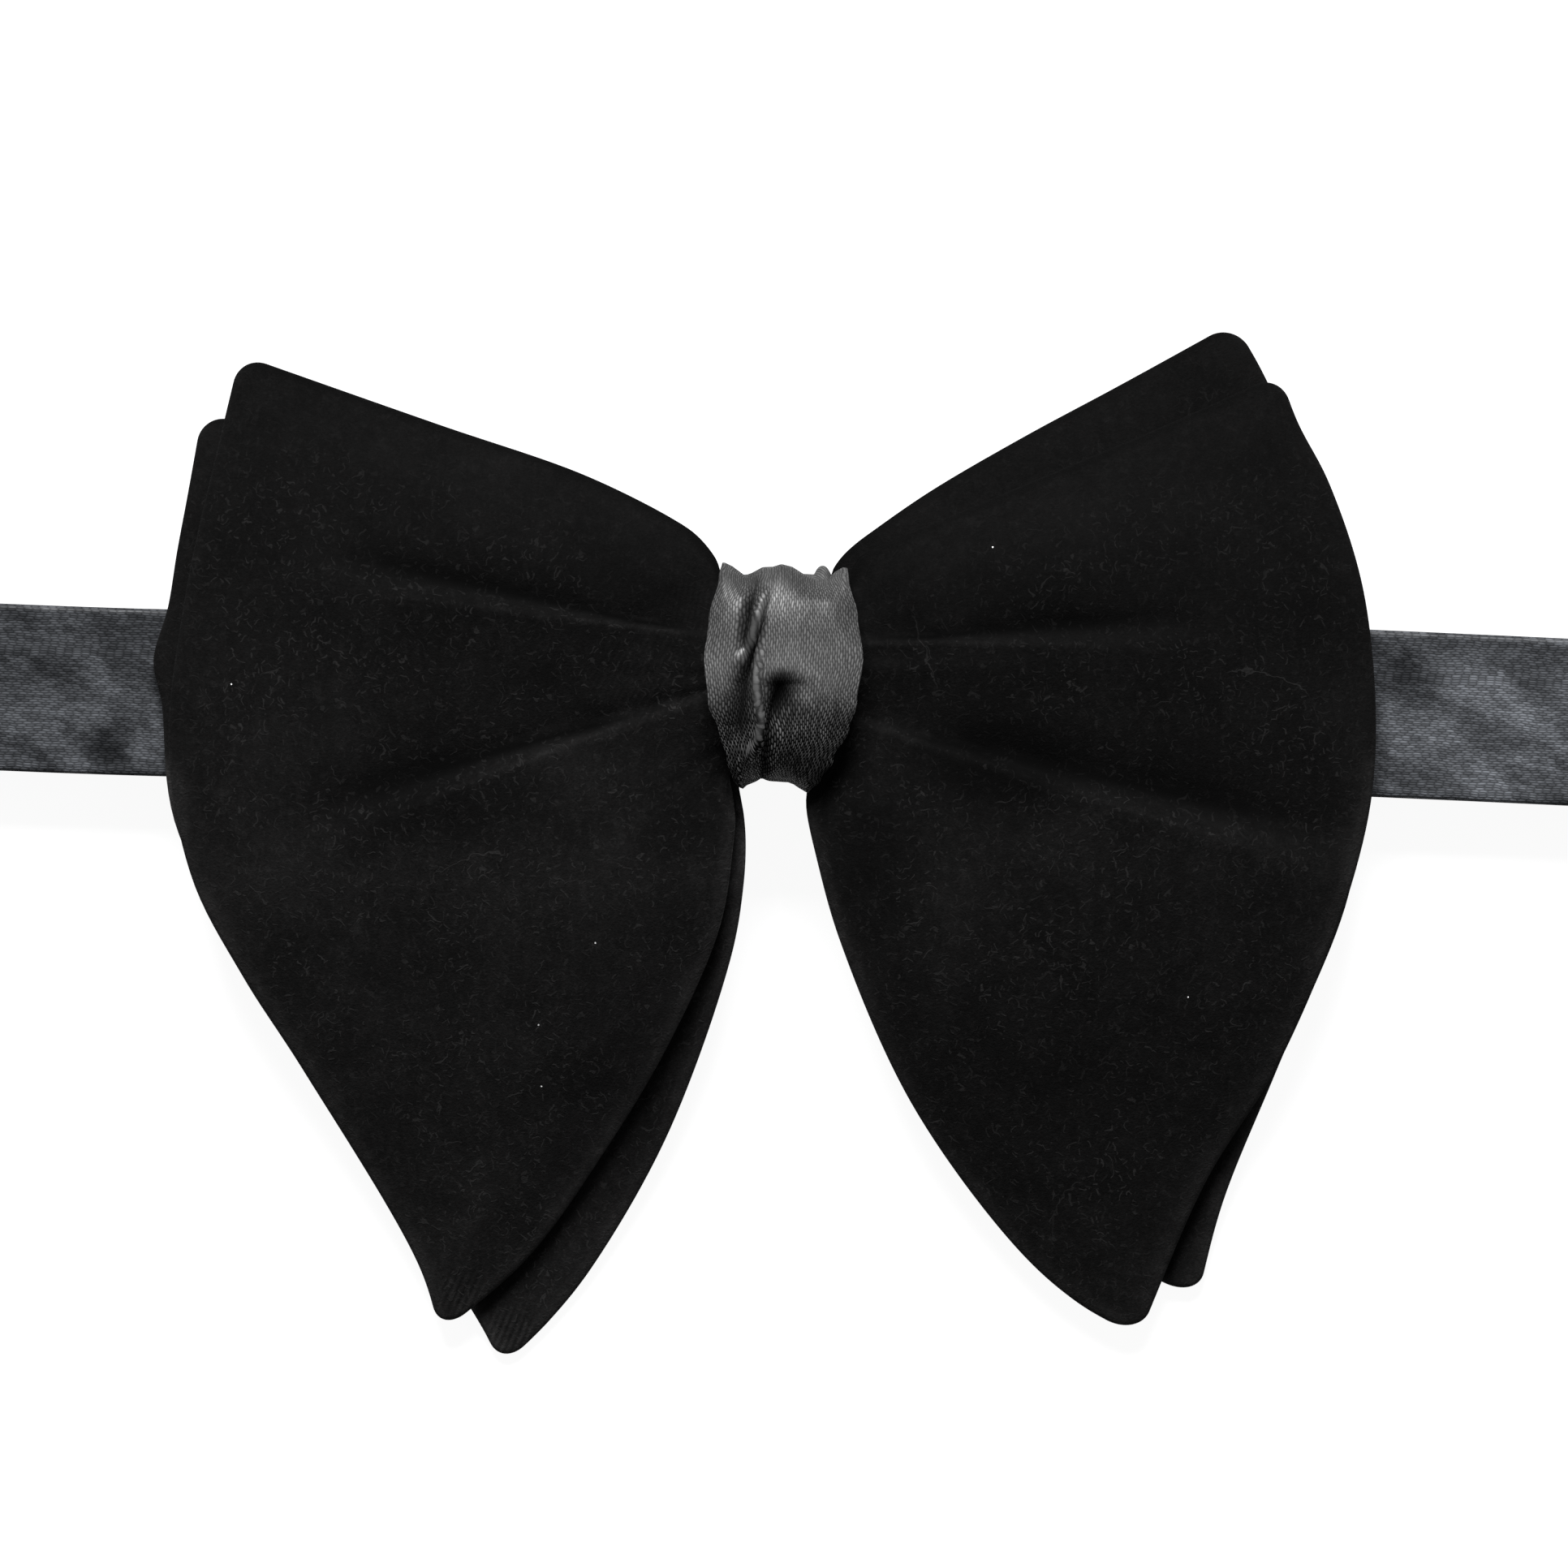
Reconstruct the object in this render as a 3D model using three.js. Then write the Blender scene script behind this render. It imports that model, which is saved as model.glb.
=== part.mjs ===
// A butterfly bow tie, lying face up on a table: two velvet bows stacked and gathered at the waist,
// a satin strip wrapped round them as the knot, and a satin neck band that runs through the knot,
// closed by a small slide.
// Millimetres. +Z is up off the table, +Y towards the top of the bow, +X towards its right-hand wing.
// The origin is on the table, under the middle of the box that holds the tie.
import * as THREE from "three";
import { mergeVertices } from "three/addons/utils/BufferGeometryUtils.js";

// Driving dimensions
const KNOT = { y: 20.8, z: 13.9, halfHeight: 12.95, halfDepth: 8.1, wall: 1.0 };
const BAND = { width: 20.6, widthInKnot: 13.4, widensOver: 14, thickness: 1.0, halfLoop: 110, loopHeight: 8.3 };
const BAND_Z = { inKnot: 7.8, onTable: 0.5, risesFrom: 10.2, risesTo: 60 };
const BAND_STEPS = { turn: 8, front: 26, back: 20 };
const PANEL = { half: 1.2, rim: 0.4, cornerRadius: 3.5 };
const SLIDE = { x: -52, length: 12, width: 24.0, wall: 0.5, slot: 1.6, side: 1.3, margin: 0.4, halfRamp: 5, ramp: 11 };
const WAIST = { top: 31.9, bottom: 9.6 };

// Height of the cloth above the table: the bows arch over the band and droop to the table at their tips.
const DRAPE = { tip: 1.25, overBand: 8.7, nearKnot: 1.9, reachUp: 37, reachDown: 72 };
const LAYERS = { gap: 2.95, puff: 3.6, puffRadius: 40, puffSpread: 26, foldShareBack: 0.25 };
const STACK = { back: 10.6, front: 13.9, dome: 4.4, domeHalf: 13 };

const VELVET = { color: 0x161616, roughness: 0.95, metalness: 0 };
const SATIN = { color: 0x4b4d50, roughness: 0.45, metalness: 0 };
const BLACK_METAL = { color: 0x2a2b2d, roughness: 0.4, metalness: 0.8 };

// Outlines of the four wings, as points that each edge passes through: the upper edge and the inner
// edge run outwards from the waist, and the outer edge runs from the upper corner to the lower tip.
const OUTLINES = {
  frontLeft: {
    upper: [[-7.3, 32.1], [-8.5, 35.2], [-10.6, 37.7], [-13.6, 39.8], [-24.6, 45.3], [-42.6, 51.6], [-67.2, 60.3]],
    outer: [
      [-67.2, 60.3], [-69.5, 50.0], [-73.6, 30.0], [-75.6, 12.0], [-72.8, -4.2], [-66.6, -16.4], [-59.3, -27.9],
      [-45.2, -52.0], [-42.4, -60.7],
    ],
    inner: [
      [-4.4, 9.5], [-6.2, 7.4], [-6.1, 3.9], [-6.4, -0.9], [-7.9, -10.4], [-14.1, -24.6], [-21.7, -37.4],
      [-31.6, -51.2], [-42.4, -60.7],
    ],
  },
  frontRight: {
    upper: [[8.0, 32.1], [9.4, 34.9], [18.4, 39.2], [33.4, 45.7], [48.4, 52.1], [61.2, 58.0]],
    outer: [
      [61.2, 58.0], [63.4, 51.9], [67.2, 44.2], [71.4, 30.0], [72.6, 10.0], [70.0, -4.2], [61.0, -27.0],
      [52.2, -41.5], [43.8, -61.1],
    ],
    inner: [
      [2.6, 9.5], [3.5, 7.6], [3.1, 4.0], [6.9, -12.1], [15.7, -32.1], [28.5, -49.8], [36.1, -56.7], [43.8, -61.1],
    ],
  },
  backLeft: {
    upper: [[-7.3, 32.1], [-9.2, 34.4], [-15.5, 38.2], [-28.0, 42.6], [-46.0, 47.0], [-71.9, 53.1]],
    outer: [
      [-71.9, 53.1], [-73.5, 43.0], [-74.7, 36.0], [-75.8, 29.0], [-77.6, 22.4], [-76.6, 17.5], [-74.8, 2.0],
      [-58.0, -28.0], [-37.2, -60.3], [-35.0, -65.0],
    ],
    inner: [
      [-4.2, 9.5], [-5.6, 7.3], [-4.9, 3.4], [-4.9, -5.0], [-6.5, -14.0], [-14.4, -36.1], [-23.6, -52.3],
      [-28.9, -59.0], [-35.0, -65.0],
    ],
  },
  backRight: {
    upper: [[7.7, 32.1], [9.4, 36.7], [17.4, 42.8], [29.4, 50.0], [41.4, 56.5], [55.7, 64.4]],
    outer: [
      [55.7, 64.4], [59.6, 57.4], [69.0, 34.0], [71.4, 12.0], [69.6, -6.0], [60.8, -28.0], [54.3, -44.3],
      [51.1, -56.6],
    ],
    inner: [[2.6, 9.5], [3.9, 7.4], [3.6, 4.0], [8.4, -12.0], [18.6, -31.5], [33.0, -46.5], [51.1, -56.6]],
  },
};

// Folds pressed into the bows by the knot. Each crest line leaves the knot at waistY and follows
// waistY + slope * d + bend * d * d, d being the distance out from the knot's centre.
// The cloth falls steeply on the upper side of a crest, into a valley, and gently below it.
const FOLDS = [
  { side: -1, waistY: 25.75, slope: 0.045, bend: 0.0012, crest: 1.3, valley: 2.7, fadeFrom: 34, fadeTo: 66 },
  { side: -1, waistY: 18.3, slope: -0.16, bend: -0.0032, crest: 1.3, valley: 3.0, fadeFrom: 38, fadeTo: 68 },
  { side: 1, waistY: 24.4, slope: 0.04, bend: -0.001, crest: 1.1, valley: 2.5, fadeFrom: 30, fadeTo: 62 },
  { side: 1, waistY: 16.4, slope: -0.24, bend: -0.0006, crest: 1.3, valley: 3.2, fadeFrom: 46, fadeTo: 74 },
];
const FOLD_SHAPE = { step: 1.7, crestLength: 7.5, valleyLength: 8.5, spreadPerMm: 0.014 };

// Creases down the front of the knot: place across it at the top, middle and bottom, depth and width.
const CREASES = [
  { top: -4.6, middle: -4.3, bottom: -3.2, depth: 1.2, width: 1.1 },
  { top: 3.2, middle: -0.6, bottom: -1.6, depth: 0.9, width: 1.2 },
];

// Half-width of the knot's front, and the middle of it, at heights from its foot to its top.
const KNOT_FRONT = [
  { y: 7.85, half: 3.0, middle: -1.3 },
  { y: 8.9, half: 3.7, middle: -1.1 },
  { y: 10.4, half: 6.7, middle: -0.4 },
  { y: 13.4, half: 8.1, middle: 0.0 },
  { y: 17.0, half: 9.2, middle: 0.0 },
  { y: 22.5, half: 9.75, middle: 0.1 },
  { y: 28.0, half: 9.2, middle: 0.1 },
  { y: 32.6, half: 7.7, middle: 0.4 },
  { y: 33.75, half: 7.1, middle: 0.4 },
];
const KNOT_BACK_HALF = 7.2;
const KNOT_BULGE = { crown: 1.3, frontPower: 2.6, backPower: 7, lip: 0.4, endShare: 0.12 };

// The band's centre line seen from above: a slight slant on each side of the knot.
const BAND_LINE = [[-110, 19.75], [-78.6, 18.55], [-40, 17.9], [0, 18.5], [40, 17.3], [77.4, 15.75], [110, 14.25]];

const TABLE_SAMPLES = {
  across: [0, 0.012, 0.024, 0.06, 0.1, 0.14, 0.18, 0.215, 0.25, 0.285, 0.32, 0.36, 0.4, 0.44, 0.48, 0.52, 0.57, 0.63, 0.7, 0.78, 0.86, 0.93, 0.976, 0.988, 1],
  out: [0, 0.03, 0.06, 0.1, 0.14, 0.19, 0.25, 0.32, 0.4, 0.48, 0.56, 0.65, 0.74, 0.83, 0.91, 0.955, 0.972, 0.988, 1],
};

const clamp = (x, low, high) => Math.min(high, Math.max(low, x));
const mix = (a, b, t) => a + (b - a) * t;
const smooth = (low, high, x) => {
  const t = clamp((x - low) / (high - low), 0, 1);
  return t * t * (3 - 2 * t);
};

// A smooth curve through the points, walked by its length.
function edgeCurve(points) {
  const knots = points.map(([x, y]) => new THREE.Vector3(x, y, 0));
  return new THREE.CatmullRomCurve3(knots, false, "centripetal");
}

// The value of a named column at height y, in a table whose rows rise in y.
function readTable(rows, column, y) {
  const last = rows.length - 1;
  if (y <= rows[0].y) return rows[0][column];
  if (y >= rows[last].y) return rows[last][column];
  const i = rows.findIndex((row) => row.y > y) - 1;
  return mix(rows[i][column], rows[i + 1][column], smooth(rows[i].y, rows[i + 1].y, y));
}

const bandCurve = edgeCurve(BAND_LINE);
const bandPoints = bandCurve.getPoints(120);
function bandY(x) {
  const i = clamp(bandPoints.findIndex((p) => p.x >= x), 1, bandPoints.length - 1);
  const a = bandPoints[i - 1];
  const b = bandPoints[i];
  return mix(a.y, b.y, clamp((x - a.x) / (b.x - a.x), 0, 1));
}

// How far the folds lift or sink the cloth at a point seen from above.
function foldHeight(x, y) {
  let height = 0;
  for (const fold of FOLDS) {
    const d = Math.abs(x);
    if (Math.sign(x) !== fold.side) continue;
    const slope = fold.slope + 2 * fold.bend * d;
    const below = (fold.waistY + fold.slope * d + fold.bend * d * d - y) / Math.hypot(1, slope);
    const spread = 1 + FOLD_SHAPE.spreadPerMm * d;
    const step = FOLD_SHAPE.step * spread;
    const strength = (1 - smooth(fold.fadeFrom, fold.fadeTo, d)) * smooth(0, 8, d);
    let profile;
    if (below >= 0) profile = fold.crest * Math.exp(-below / (FOLD_SHAPE.crestLength * spread));
    else if (below > -step) profile = mix(fold.crest, -fold.valley, smooth(0, step, -below));
    else profile = -fold.valley * Math.exp((below + step) / (FOLD_SHAPE.valleyLength * spread));
    height += strength * profile;
  }
  return height;
}

// Middle of the cloth's thickness above the table, for the front bow or the back one.
function clothHeight(isFront, x, y) {
  const above = y - bandY(x);
  const past = Math.max(0, Math.abs(above) - BAND.width / 2);
  const arch = (1 + Math.cos(Math.PI * clamp(past / (above > 0 ? DRAPE.reachUp : DRAPE.reachDown), 0, 1))) / 2;
  const lift = DRAPE.overBand + DRAPE.nearKnot * (1 - smooth(30, 66, Math.abs(x)));
  const r = Math.hypot(x, y - KNOT.y);
  const fromKnot = smooth(9, 30, r);
  const fold = foldHeight(x, y);
  const backDrape = DRAPE.tip + lift * arch;
  if (!isFront) return mix(STACK.back, backDrape, fromKnot) + LAYERS.foldShareBack * fold * smooth(6, 16, r);
  const fromWaist = smooth(7, 21, r);
  const puff = LAYERS.puff * Math.exp(-(((r - LAYERS.puffRadius) / LAYERS.puffSpread) ** 2));
  const dome = STACK.dome * clamp(1 - ((y - KNOT.y) / STACK.domeHalf) ** 2, 0, 1);
  return mix(STACK.front + dome, backDrape + LAYERS.gap + puff, fromWaist) + fold;
}

// Rounds the corner of the unit square at u = 1, v = 0 or 1, as the sewn corners of a bow are.
function roundCorner(u, v, ru, rv) {
  const flip = v > 0.5;
  const w = flip ? 1 - v : v;
  const a = (u - (1 - ru)) / ru;
  const b = (rv - w) / rv;
  if (a <= 0 || b <= 0) return [u, v];
  const roundedU = 1 - ru + ru * a * Math.sqrt(1 - (b * b) / 2);
  const roundedW = rv - rv * b * Math.sqrt(1 - (a * a) / 2);
  return [roundedU, flip ? 1 - roundedW : roundedW];
}

// A wing as a patch between its edges: u runs from the waist to the outer edge, v from the upper edge down.
function makeWing(outline) {
  const upper = edgeCurve([[0, WAIST.top], ...outline.upper]);
  const inner = edgeCurve([[0, WAIST.bottom], ...outline.inner]);
  const outer = edgeCurve(outline.outer);
  const ru = PANEL.cornerRadius / upper.getLength();
  const rv = PANEL.cornerRadius / outer.getLength();
  const corner = upper.getPoint(1);
  const tip = inner.getPoint(1);
  return (gridU, gridV) => {
    const [u, v] = roundCorner(gridU, gridV, ru, rv);
    const t = upper.getPointAt(u);
    const b = inner.getPointAt(u);
    const o = outer.getPointAt(v);
    const waistY = mix(WAIST.top, WAIST.bottom, v);
    const x = mix(t.x, b.x, v) + u * o.x - u * mix(corner.x, tip.x, v);
    const y = mix(t.y, b.y, v) + mix(waistY, o.y, u) - mix(waistY, mix(corner.y, tip.y, v), u);
    const breadth = Math.hypot(t.x - b.x, t.y - b.y);
    const toEdge = Math.min((1 - gridU) * upper.getLength(), gridV * breadth, (1 - gridV) * breadth);
    return { x, y, toEdge };
  };
}

// A closed solid from two facing grids, columns counted across and rows down, seen from above.
function shellSolid(columns, rows, topAt, bottomAt) {
  const position = [];
  const index = [];
  const sides = [topAt, bottomAt];
  for (const at of sides)
    for (let i = 0; i < columns; i++) for (let j = 0; j < rows; j++) position.push(...at(i, j));
  const id = (side, i, j) => side * columns * rows + i * rows + j;
  const quad = (a, b, c, d) => index.push(a, b, c, a, c, d);
  for (let i = 0; i + 1 < columns; i++)
    for (let j = 0; j + 1 < rows; j++) {
      quad(id(0, i, j), id(0, i, j + 1), id(0, i + 1, j + 1), id(0, i + 1, j));
      quad(id(1, i, j), id(1, i + 1, j), id(1, i + 1, j + 1), id(1, i, j + 1));
    }
  for (let i = 0; i + 1 < columns; i++) {
    quad(id(0, i, 0), id(0, i + 1, 0), id(1, i + 1, 0), id(1, i, 0));
    quad(id(0, i + 1, rows - 1), id(0, i, rows - 1), id(1, i, rows - 1), id(1, i + 1, rows - 1));
  }
  for (let j = 0; j + 1 < rows; j++) {
    quad(id(0, 0, j + 1), id(0, 0, j), id(1, 0, j), id(1, 0, j + 1));
    quad(id(0, columns - 1, j), id(0, columns - 1, j + 1), id(1, columns - 1, j + 1), id(1, columns - 1, j));
  }
  const geometry = new THREE.BufferGeometry();
  geometry.setAttribute("position", new THREE.Float32BufferAttribute(position, 3));
  geometry.setIndex(index);
  const merged = mergeVertices(geometry, 1e-4);
  merged.computeVertexNormals();
  return merged;
}

// One bow: both wings and the gathered waist between them, as one padded panel of cloth.
function bowGeometry(isFront) {
  const left = makeWing(isFront ? OUTLINES.frontLeft : OUTLINES.backLeft);
  const right = makeWing(isFront ? OUTLINES.frontRight : OUTLINES.backRight);
  const out = TABLE_SAMPLES.out;
  const across = TABLE_SAMPLES.across;
  const reach = [...out.slice(1).reverse().map((u) => [left, u]), ...out.map((u) => [right, u])];
  const at = (side) => (i, j) => {
    const [wing, u] = reach[i];
    const { x, y, toEdge } = wing(u, across[j]);
    const inset = 1 - clamp(toEdge / PANEL.half, 0, 1);
    const half = Math.max(PANEL.rim, PANEL.half * Math.sqrt(1 - inset * inset));
    return [x, y, clothHeight(isFront, x, y) + side * half];
  };
  return shellSolid(reach.length, across.length, at(1), at(-1));
}

// A point of the knot's strip: turn goes once round it from the back over the top, s across it.
function knotPoint(turn, s, inside) {
  const angle = 2 * Math.PI * turn;
  const c = -Math.cos(angle);
  const n = Math.sin(angle);
  const p = mix(KNOT_BULGE.backPower, KNOT_BULGE.frontPower, smooth(-0.1, 0.3, c));
  const scale = (Math.abs(c) ** p + Math.abs(n) ** p) ** (-1 / p);
  const unitY = n * scale;
  const unitZ = c * scale;
  const y0 = KNOT.y + unitY * KNOT.halfHeight;
  const front = smooth(-0.35, 0.2, unitZ);
  const halfAtY = readTable(KNOT_FRONT, "half", y0);
  const half = mix(Math.min(KNOT_BACK_HALF, halfAtY), halfAtY, front);
  const middle = readTable(KNOT_FRONT, "middle", y0);
  const x = middle + half * s;
  let depth = KNOT_BULGE.crown * (1 - s * s) * front - KNOT_BULGE.lip * s ** 4;
  for (const crease of CREASES) {
    const place = unitY > 0 ? mix(crease.middle, crease.top, unitY) : mix(crease.middle, crease.bottom, -unitY);
    depth -= crease.depth * front * Math.exp(-(((x - place) / crease.width) ** 2));
  }
  const skin = inside ? -KNOT.wall : depth * mix(KNOT_BULGE.endShare, 1, smooth(0, 0.6, Math.abs(unitZ)));
  return [x, KNOT.y + unitY * (KNOT.halfHeight + skin), KNOT.z + unitZ * (KNOT.halfDepth + skin)];
}

// A closed ring from its outer and inner skins, each going round in turns and across from s = -1 to 1.
function ringSolid(turns, acrosses, outerAt, innerAt) {
  const position = [];
  const index = [];
  const columns = acrosses.length;
  for (const at of [outerAt, innerAt])
    for (let i = 0; i < turns; i++) for (const s of acrosses) position.push(...at(i / turns, s));
  const id = (skin, i, j) => skin * turns * columns + (i % turns) * columns + j;
  const quad = (a, b, c, d) => index.push(a, b, c, a, c, d);
  for (let i = 0; i < turns; i++) {
    for (let j = 0; j + 1 < columns; j++) {
      quad(id(0, i, j), id(0, i + 1, j), id(0, i + 1, j + 1), id(0, i, j + 1));
      quad(id(1, i, j), id(1, i, j + 1), id(1, i + 1, j + 1), id(1, i + 1, j));
    }
    quad(id(0, i + 1, 0), id(0, i, 0), id(1, i, 0), id(1, i + 1, 0));
    quad(id(0, i, columns - 1), id(0, i + 1, columns - 1), id(1, i + 1, columns - 1), id(1, i, columns - 1));
  }
  const geometry = new THREE.BufferGeometry();
  geometry.setAttribute("position", new THREE.Float32BufferAttribute(position, 3));
  geometry.setIndex(index);
  geometry.computeVertexNormals();
  return geometry;
}

function knotGeometry() {
  const turns = 44;
  const acrosses = [-1, -0.86, -0.68, -0.5, -0.4, -0.28, -0.12, 0.05, 0.2, 0.36, 0.52, 0.72, 0.88, 1];
  return ringSolid(
    turns,
    acrosses,
    (turn, s) => knotPoint(turn, s, false),
    (turn, s) => knotPoint(turn, s, true),
  );
}

// The band's centre line in x and z: along the table, up round one end, back over the top through the
// knot, down round the other end, and home, from one side of the slide to the other.
function bandPath() {
  const radius = (BAND.loopHeight - BAND.thickness) / 2;
  const endX = BAND.halfLoop - radius - BAND.thickness / 2;
  const top = BAND_Z.onTable + 2 * radius;
  const inSlide = SLIDE.wall + SLIDE.slot / 2;
  const path = [];
  const add = (x, z) => path.push([x, z]);
  add(SLIDE.x + SLIDE.margin, inSlide);
  add(SLIDE.x + SLIDE.length / 2, inSlide);
  add(SLIDE.x + SLIDE.length / 2 + SLIDE.halfRamp, mix(BAND_Z.onTable, inSlide, 0.5));
  add(SLIDE.x + SLIDE.length / 2 + SLIDE.ramp, BAND_Z.onTable);
  for (let x = -BAND_STEPS.back; x < endX; x += BAND_STEPS.back) add(x, BAND_Z.onTable);
  for (let i = 0; i <= BAND_STEPS.turn; i++) {
    const angle = (Math.PI * i) / BAND_STEPS.turn;
    add(endX + radius * Math.sin(angle), BAND_Z.onTable + radius * (1 - Math.cos(angle)));
  }
  for (let i = 1; i < BAND_STEPS.front; i++) {
    const x = mix(endX, -endX, i / BAND_STEPS.front);
    add(x, mix(BAND_Z.inKnot, top, smooth(BAND_Z.risesFrom, BAND_Z.risesTo, Math.abs(x))));
  }
  for (let i = 0; i <= BAND_STEPS.turn; i++) {
    const angle = (Math.PI * i) / BAND_STEPS.turn;
    add(-endX - radius * Math.sin(angle), top - radius * (1 - Math.cos(angle)));
  }
  add(SLIDE.x - SLIDE.length / 2 - SLIDE.ramp - BAND_STEPS.back, BAND_Z.onTable);
  add(SLIDE.x - SLIDE.length / 2 - SLIDE.ramp, BAND_Z.onTable);
  add(SLIDE.x - SLIDE.length / 2 - SLIDE.halfRamp, mix(BAND_Z.onTable, inSlide, 0.5));
  add(SLIDE.x - SLIDE.length / 2, inSlide);
  add(SLIDE.x - SLIDE.margin, inSlide);
  return path;
}

function bandGeometry() {
  const path = bandPath();
  const acrosses = [-1, -0.5, 0, 0.5, 1];
  const at = (skin) => (i, j) => {
    const [x, z] = path[i];
    const before = path[Math.max(0, i - 1)];
    const after = path[Math.min(path.length - 1, i + 1)];
    const length = Math.hypot(after[0] - before[0], after[1] - before[1]);
    const normalX = (before[1] - after[1]) / length;
    const normalZ = (after[0] - before[0]) / length;
    const isTop = z > BAND.loopHeight / 2;
    const narrow = isTop ? 1 - smooth(KNOT_BACK_HALF, KNOT_BACK_HALF + BAND.widensOver, Math.abs(x)) : 0;
    const half = mix(BAND.width, BAND.widthInKnot, narrow) / 2;
    const lift = (skin * BAND.thickness) / 2;
    return [x + normalX * lift, bandY(x) - half * acrosses[j], z + normalZ * lift];
  };
  return shellSolid(path.length, acrosses.length, at(1), at(-1));
}

// The slide that joins the band's ends: a flat sleeve, open at both ends.
function slideGeometry() {
  const height = 2 * SLIDE.wall + SLIDE.slot;
  const wide = SLIDE.width / 2;
  const slotWide = wide - SLIDE.side;
  const outline = new THREE.Shape([
    new THREE.Vector2(-wide, 0),
    new THREE.Vector2(wide, 0),
    new THREE.Vector2(wide, height),
    new THREE.Vector2(-wide, height),
  ]);
  outline.holes.push(
    new THREE.Path([
      new THREE.Vector2(-slotWide, SLIDE.wall),
      new THREE.Vector2(-slotWide, SLIDE.wall + SLIDE.slot),
      new THREE.Vector2(slotWide, SLIDE.wall + SLIDE.slot),
      new THREE.Vector2(slotWide, SLIDE.wall),
    ]),
  );
  const sleeve = new THREE.ExtrudeGeometry(outline, { depth: SLIDE.length, bevelEnabled: false });
  // The section is drawn across the band and upwards, and the sleeve runs along the band.
  const across = new THREE.Vector3(0, 1, 0);
  const upwards = new THREE.Vector3(0, 0, 1);
  const along = new THREE.Vector3(1, 0, 0);
  sleeve.applyMatrix4(new THREE.Matrix4().makeBasis(across, upwards, along));
  sleeve.translate(SLIDE.x - SLIDE.length / 2, bandY(SLIDE.x), 0);
  return sleeve;
}

function piece(name, geometry, finish) {
  const mesh = new THREE.Mesh(geometry, new THREE.MeshStandardMaterial({ ...finish, name }));
  mesh.name = name;
  return mesh;
}

const tie = new THREE.Group();
tie.add(piece("front_bow", bowGeometry(true), VELVET));
tie.add(piece("back_bow", bowGeometry(false), VELVET));
tie.add(piece("knot_wrap", knotGeometry(), SATIN));
tie.add(piece("neck_band", bandGeometry(), SATIN));
tie.add(piece("band_slide", slideGeometry(), BLACK_METAL));

export default tie;
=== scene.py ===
"""A velvet bow tie lying face up on a pale table: two stacked velvet bows, a satin knot, a satin neck band.

Lengths in the tables are millimetres and are turned into metres as they go into a mesh.
+Z is up off the table, +Y towards the top of the bow, +X towards its right-hand wing.
"""
import math
from typing import NamedTuple

import bmesh
import bpy
import numpy as np
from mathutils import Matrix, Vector, noise


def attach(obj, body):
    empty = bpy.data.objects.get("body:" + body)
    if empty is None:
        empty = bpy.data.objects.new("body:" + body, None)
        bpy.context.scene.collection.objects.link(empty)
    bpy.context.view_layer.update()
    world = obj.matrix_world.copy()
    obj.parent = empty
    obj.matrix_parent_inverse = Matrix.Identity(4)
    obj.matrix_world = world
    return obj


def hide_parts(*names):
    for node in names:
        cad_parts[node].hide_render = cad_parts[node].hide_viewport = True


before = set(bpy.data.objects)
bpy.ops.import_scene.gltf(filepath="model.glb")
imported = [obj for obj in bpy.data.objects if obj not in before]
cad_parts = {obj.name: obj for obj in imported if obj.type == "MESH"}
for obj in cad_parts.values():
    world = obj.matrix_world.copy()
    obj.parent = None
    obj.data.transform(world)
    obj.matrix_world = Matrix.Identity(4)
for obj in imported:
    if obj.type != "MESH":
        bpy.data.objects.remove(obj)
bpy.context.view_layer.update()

MM = 0.001
BODY = "root"
QUARTER_TURN = math.pi / 2

# The table is a light table, so that the shadows on it stay faint
FLOOR_GLOW = 0.93
# The table top is a hair under the band, so that no two faces lie in one plane
FLOOR_BELOW = -0.00002
FLOOR_SIZE = 4
# The camera and the lamp are placed in metres, and the lens and sensor are in millimetres
CAMERA_HEIGHT, CAMERA_Y, CAMERA_LENS, CAMERA_SENSOR = 1.508, 0.00725, 279.5, 36
KEY_PLACE, KEY_SIZE, KEY_WATTS, ROOM_LIGHT = (-0.12, 1.38, 1.1), 0.8, 125, 0.3

# The knot, the neck band and the slide
KNOT_Y, KNOT_Z = 20.8, 13.9
KNOT_HALF_HEIGHT, KNOT_HALF_DEPTH = 12.95, 8.1
KNOT_CLOTH, KNOT_STRIP_WIDTH, KNOT_STRIP_LENGTH = 1.0, 19.5, 74.0
BAND_WIDTH, BAND_WIDTH_IN_KNOT, BAND_CLOTH, BAND_EDGE = 20.6, 13.4, 1.0, 0.5
BAND_HALF_LOOP, BAND_LOOP_HEIGHT, BAND_HEIGHT_IN_KNOT = 110.0, 8.3, 7.8
# How far out from the knot the band is narrowed, and how far out it has risen to its full height
BAND_NARROWS_OVER, BAND_RISES_BY = 14, 60
SLIDE_X, SLIDE_LENGTH, SLIDE_WIDTH = -52.0, 12.0, 24.0
SLIDE_WALL, SLIDE_SLOT, SLIDE_SIDE, SLIDE_MARGIN = 0.5, 1.6, 1.3, 0.4
SLIDE_OUTER_ROUND, SLIDE_INNER_ROUND, SLIDE_EDGE = 0.9, 0.4, 0.12
# How far beside the slide the band comes down to the table, halfway and all the way
BAND_HALF_DOWN, BAND_ALL_DOWN = 5, 11

# The velvet panels
WAIST_TOP, WAIST_BOTTOM = 31.9, 9.6
PANEL_HALF, PANEL_RIM = 1.2, 0.3
CORNER_RADIUS = 3.5

# Height of the cloth above the table
TIP_HEIGHT, ARCH_OVER_BAND, LIFT_NEAR_KNOT, LIFT_FADES = 1.25, 8.7, 1.9, (30, 66)
ARCH_REACH_UP, ARCH_REACH_DOWN = 37.0, 72.0
LAYER_GAP, PUFF, PUFF_RADIUS, PUFF_SPREAD = 2.95, 3.6, 40.0, 26.0
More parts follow.
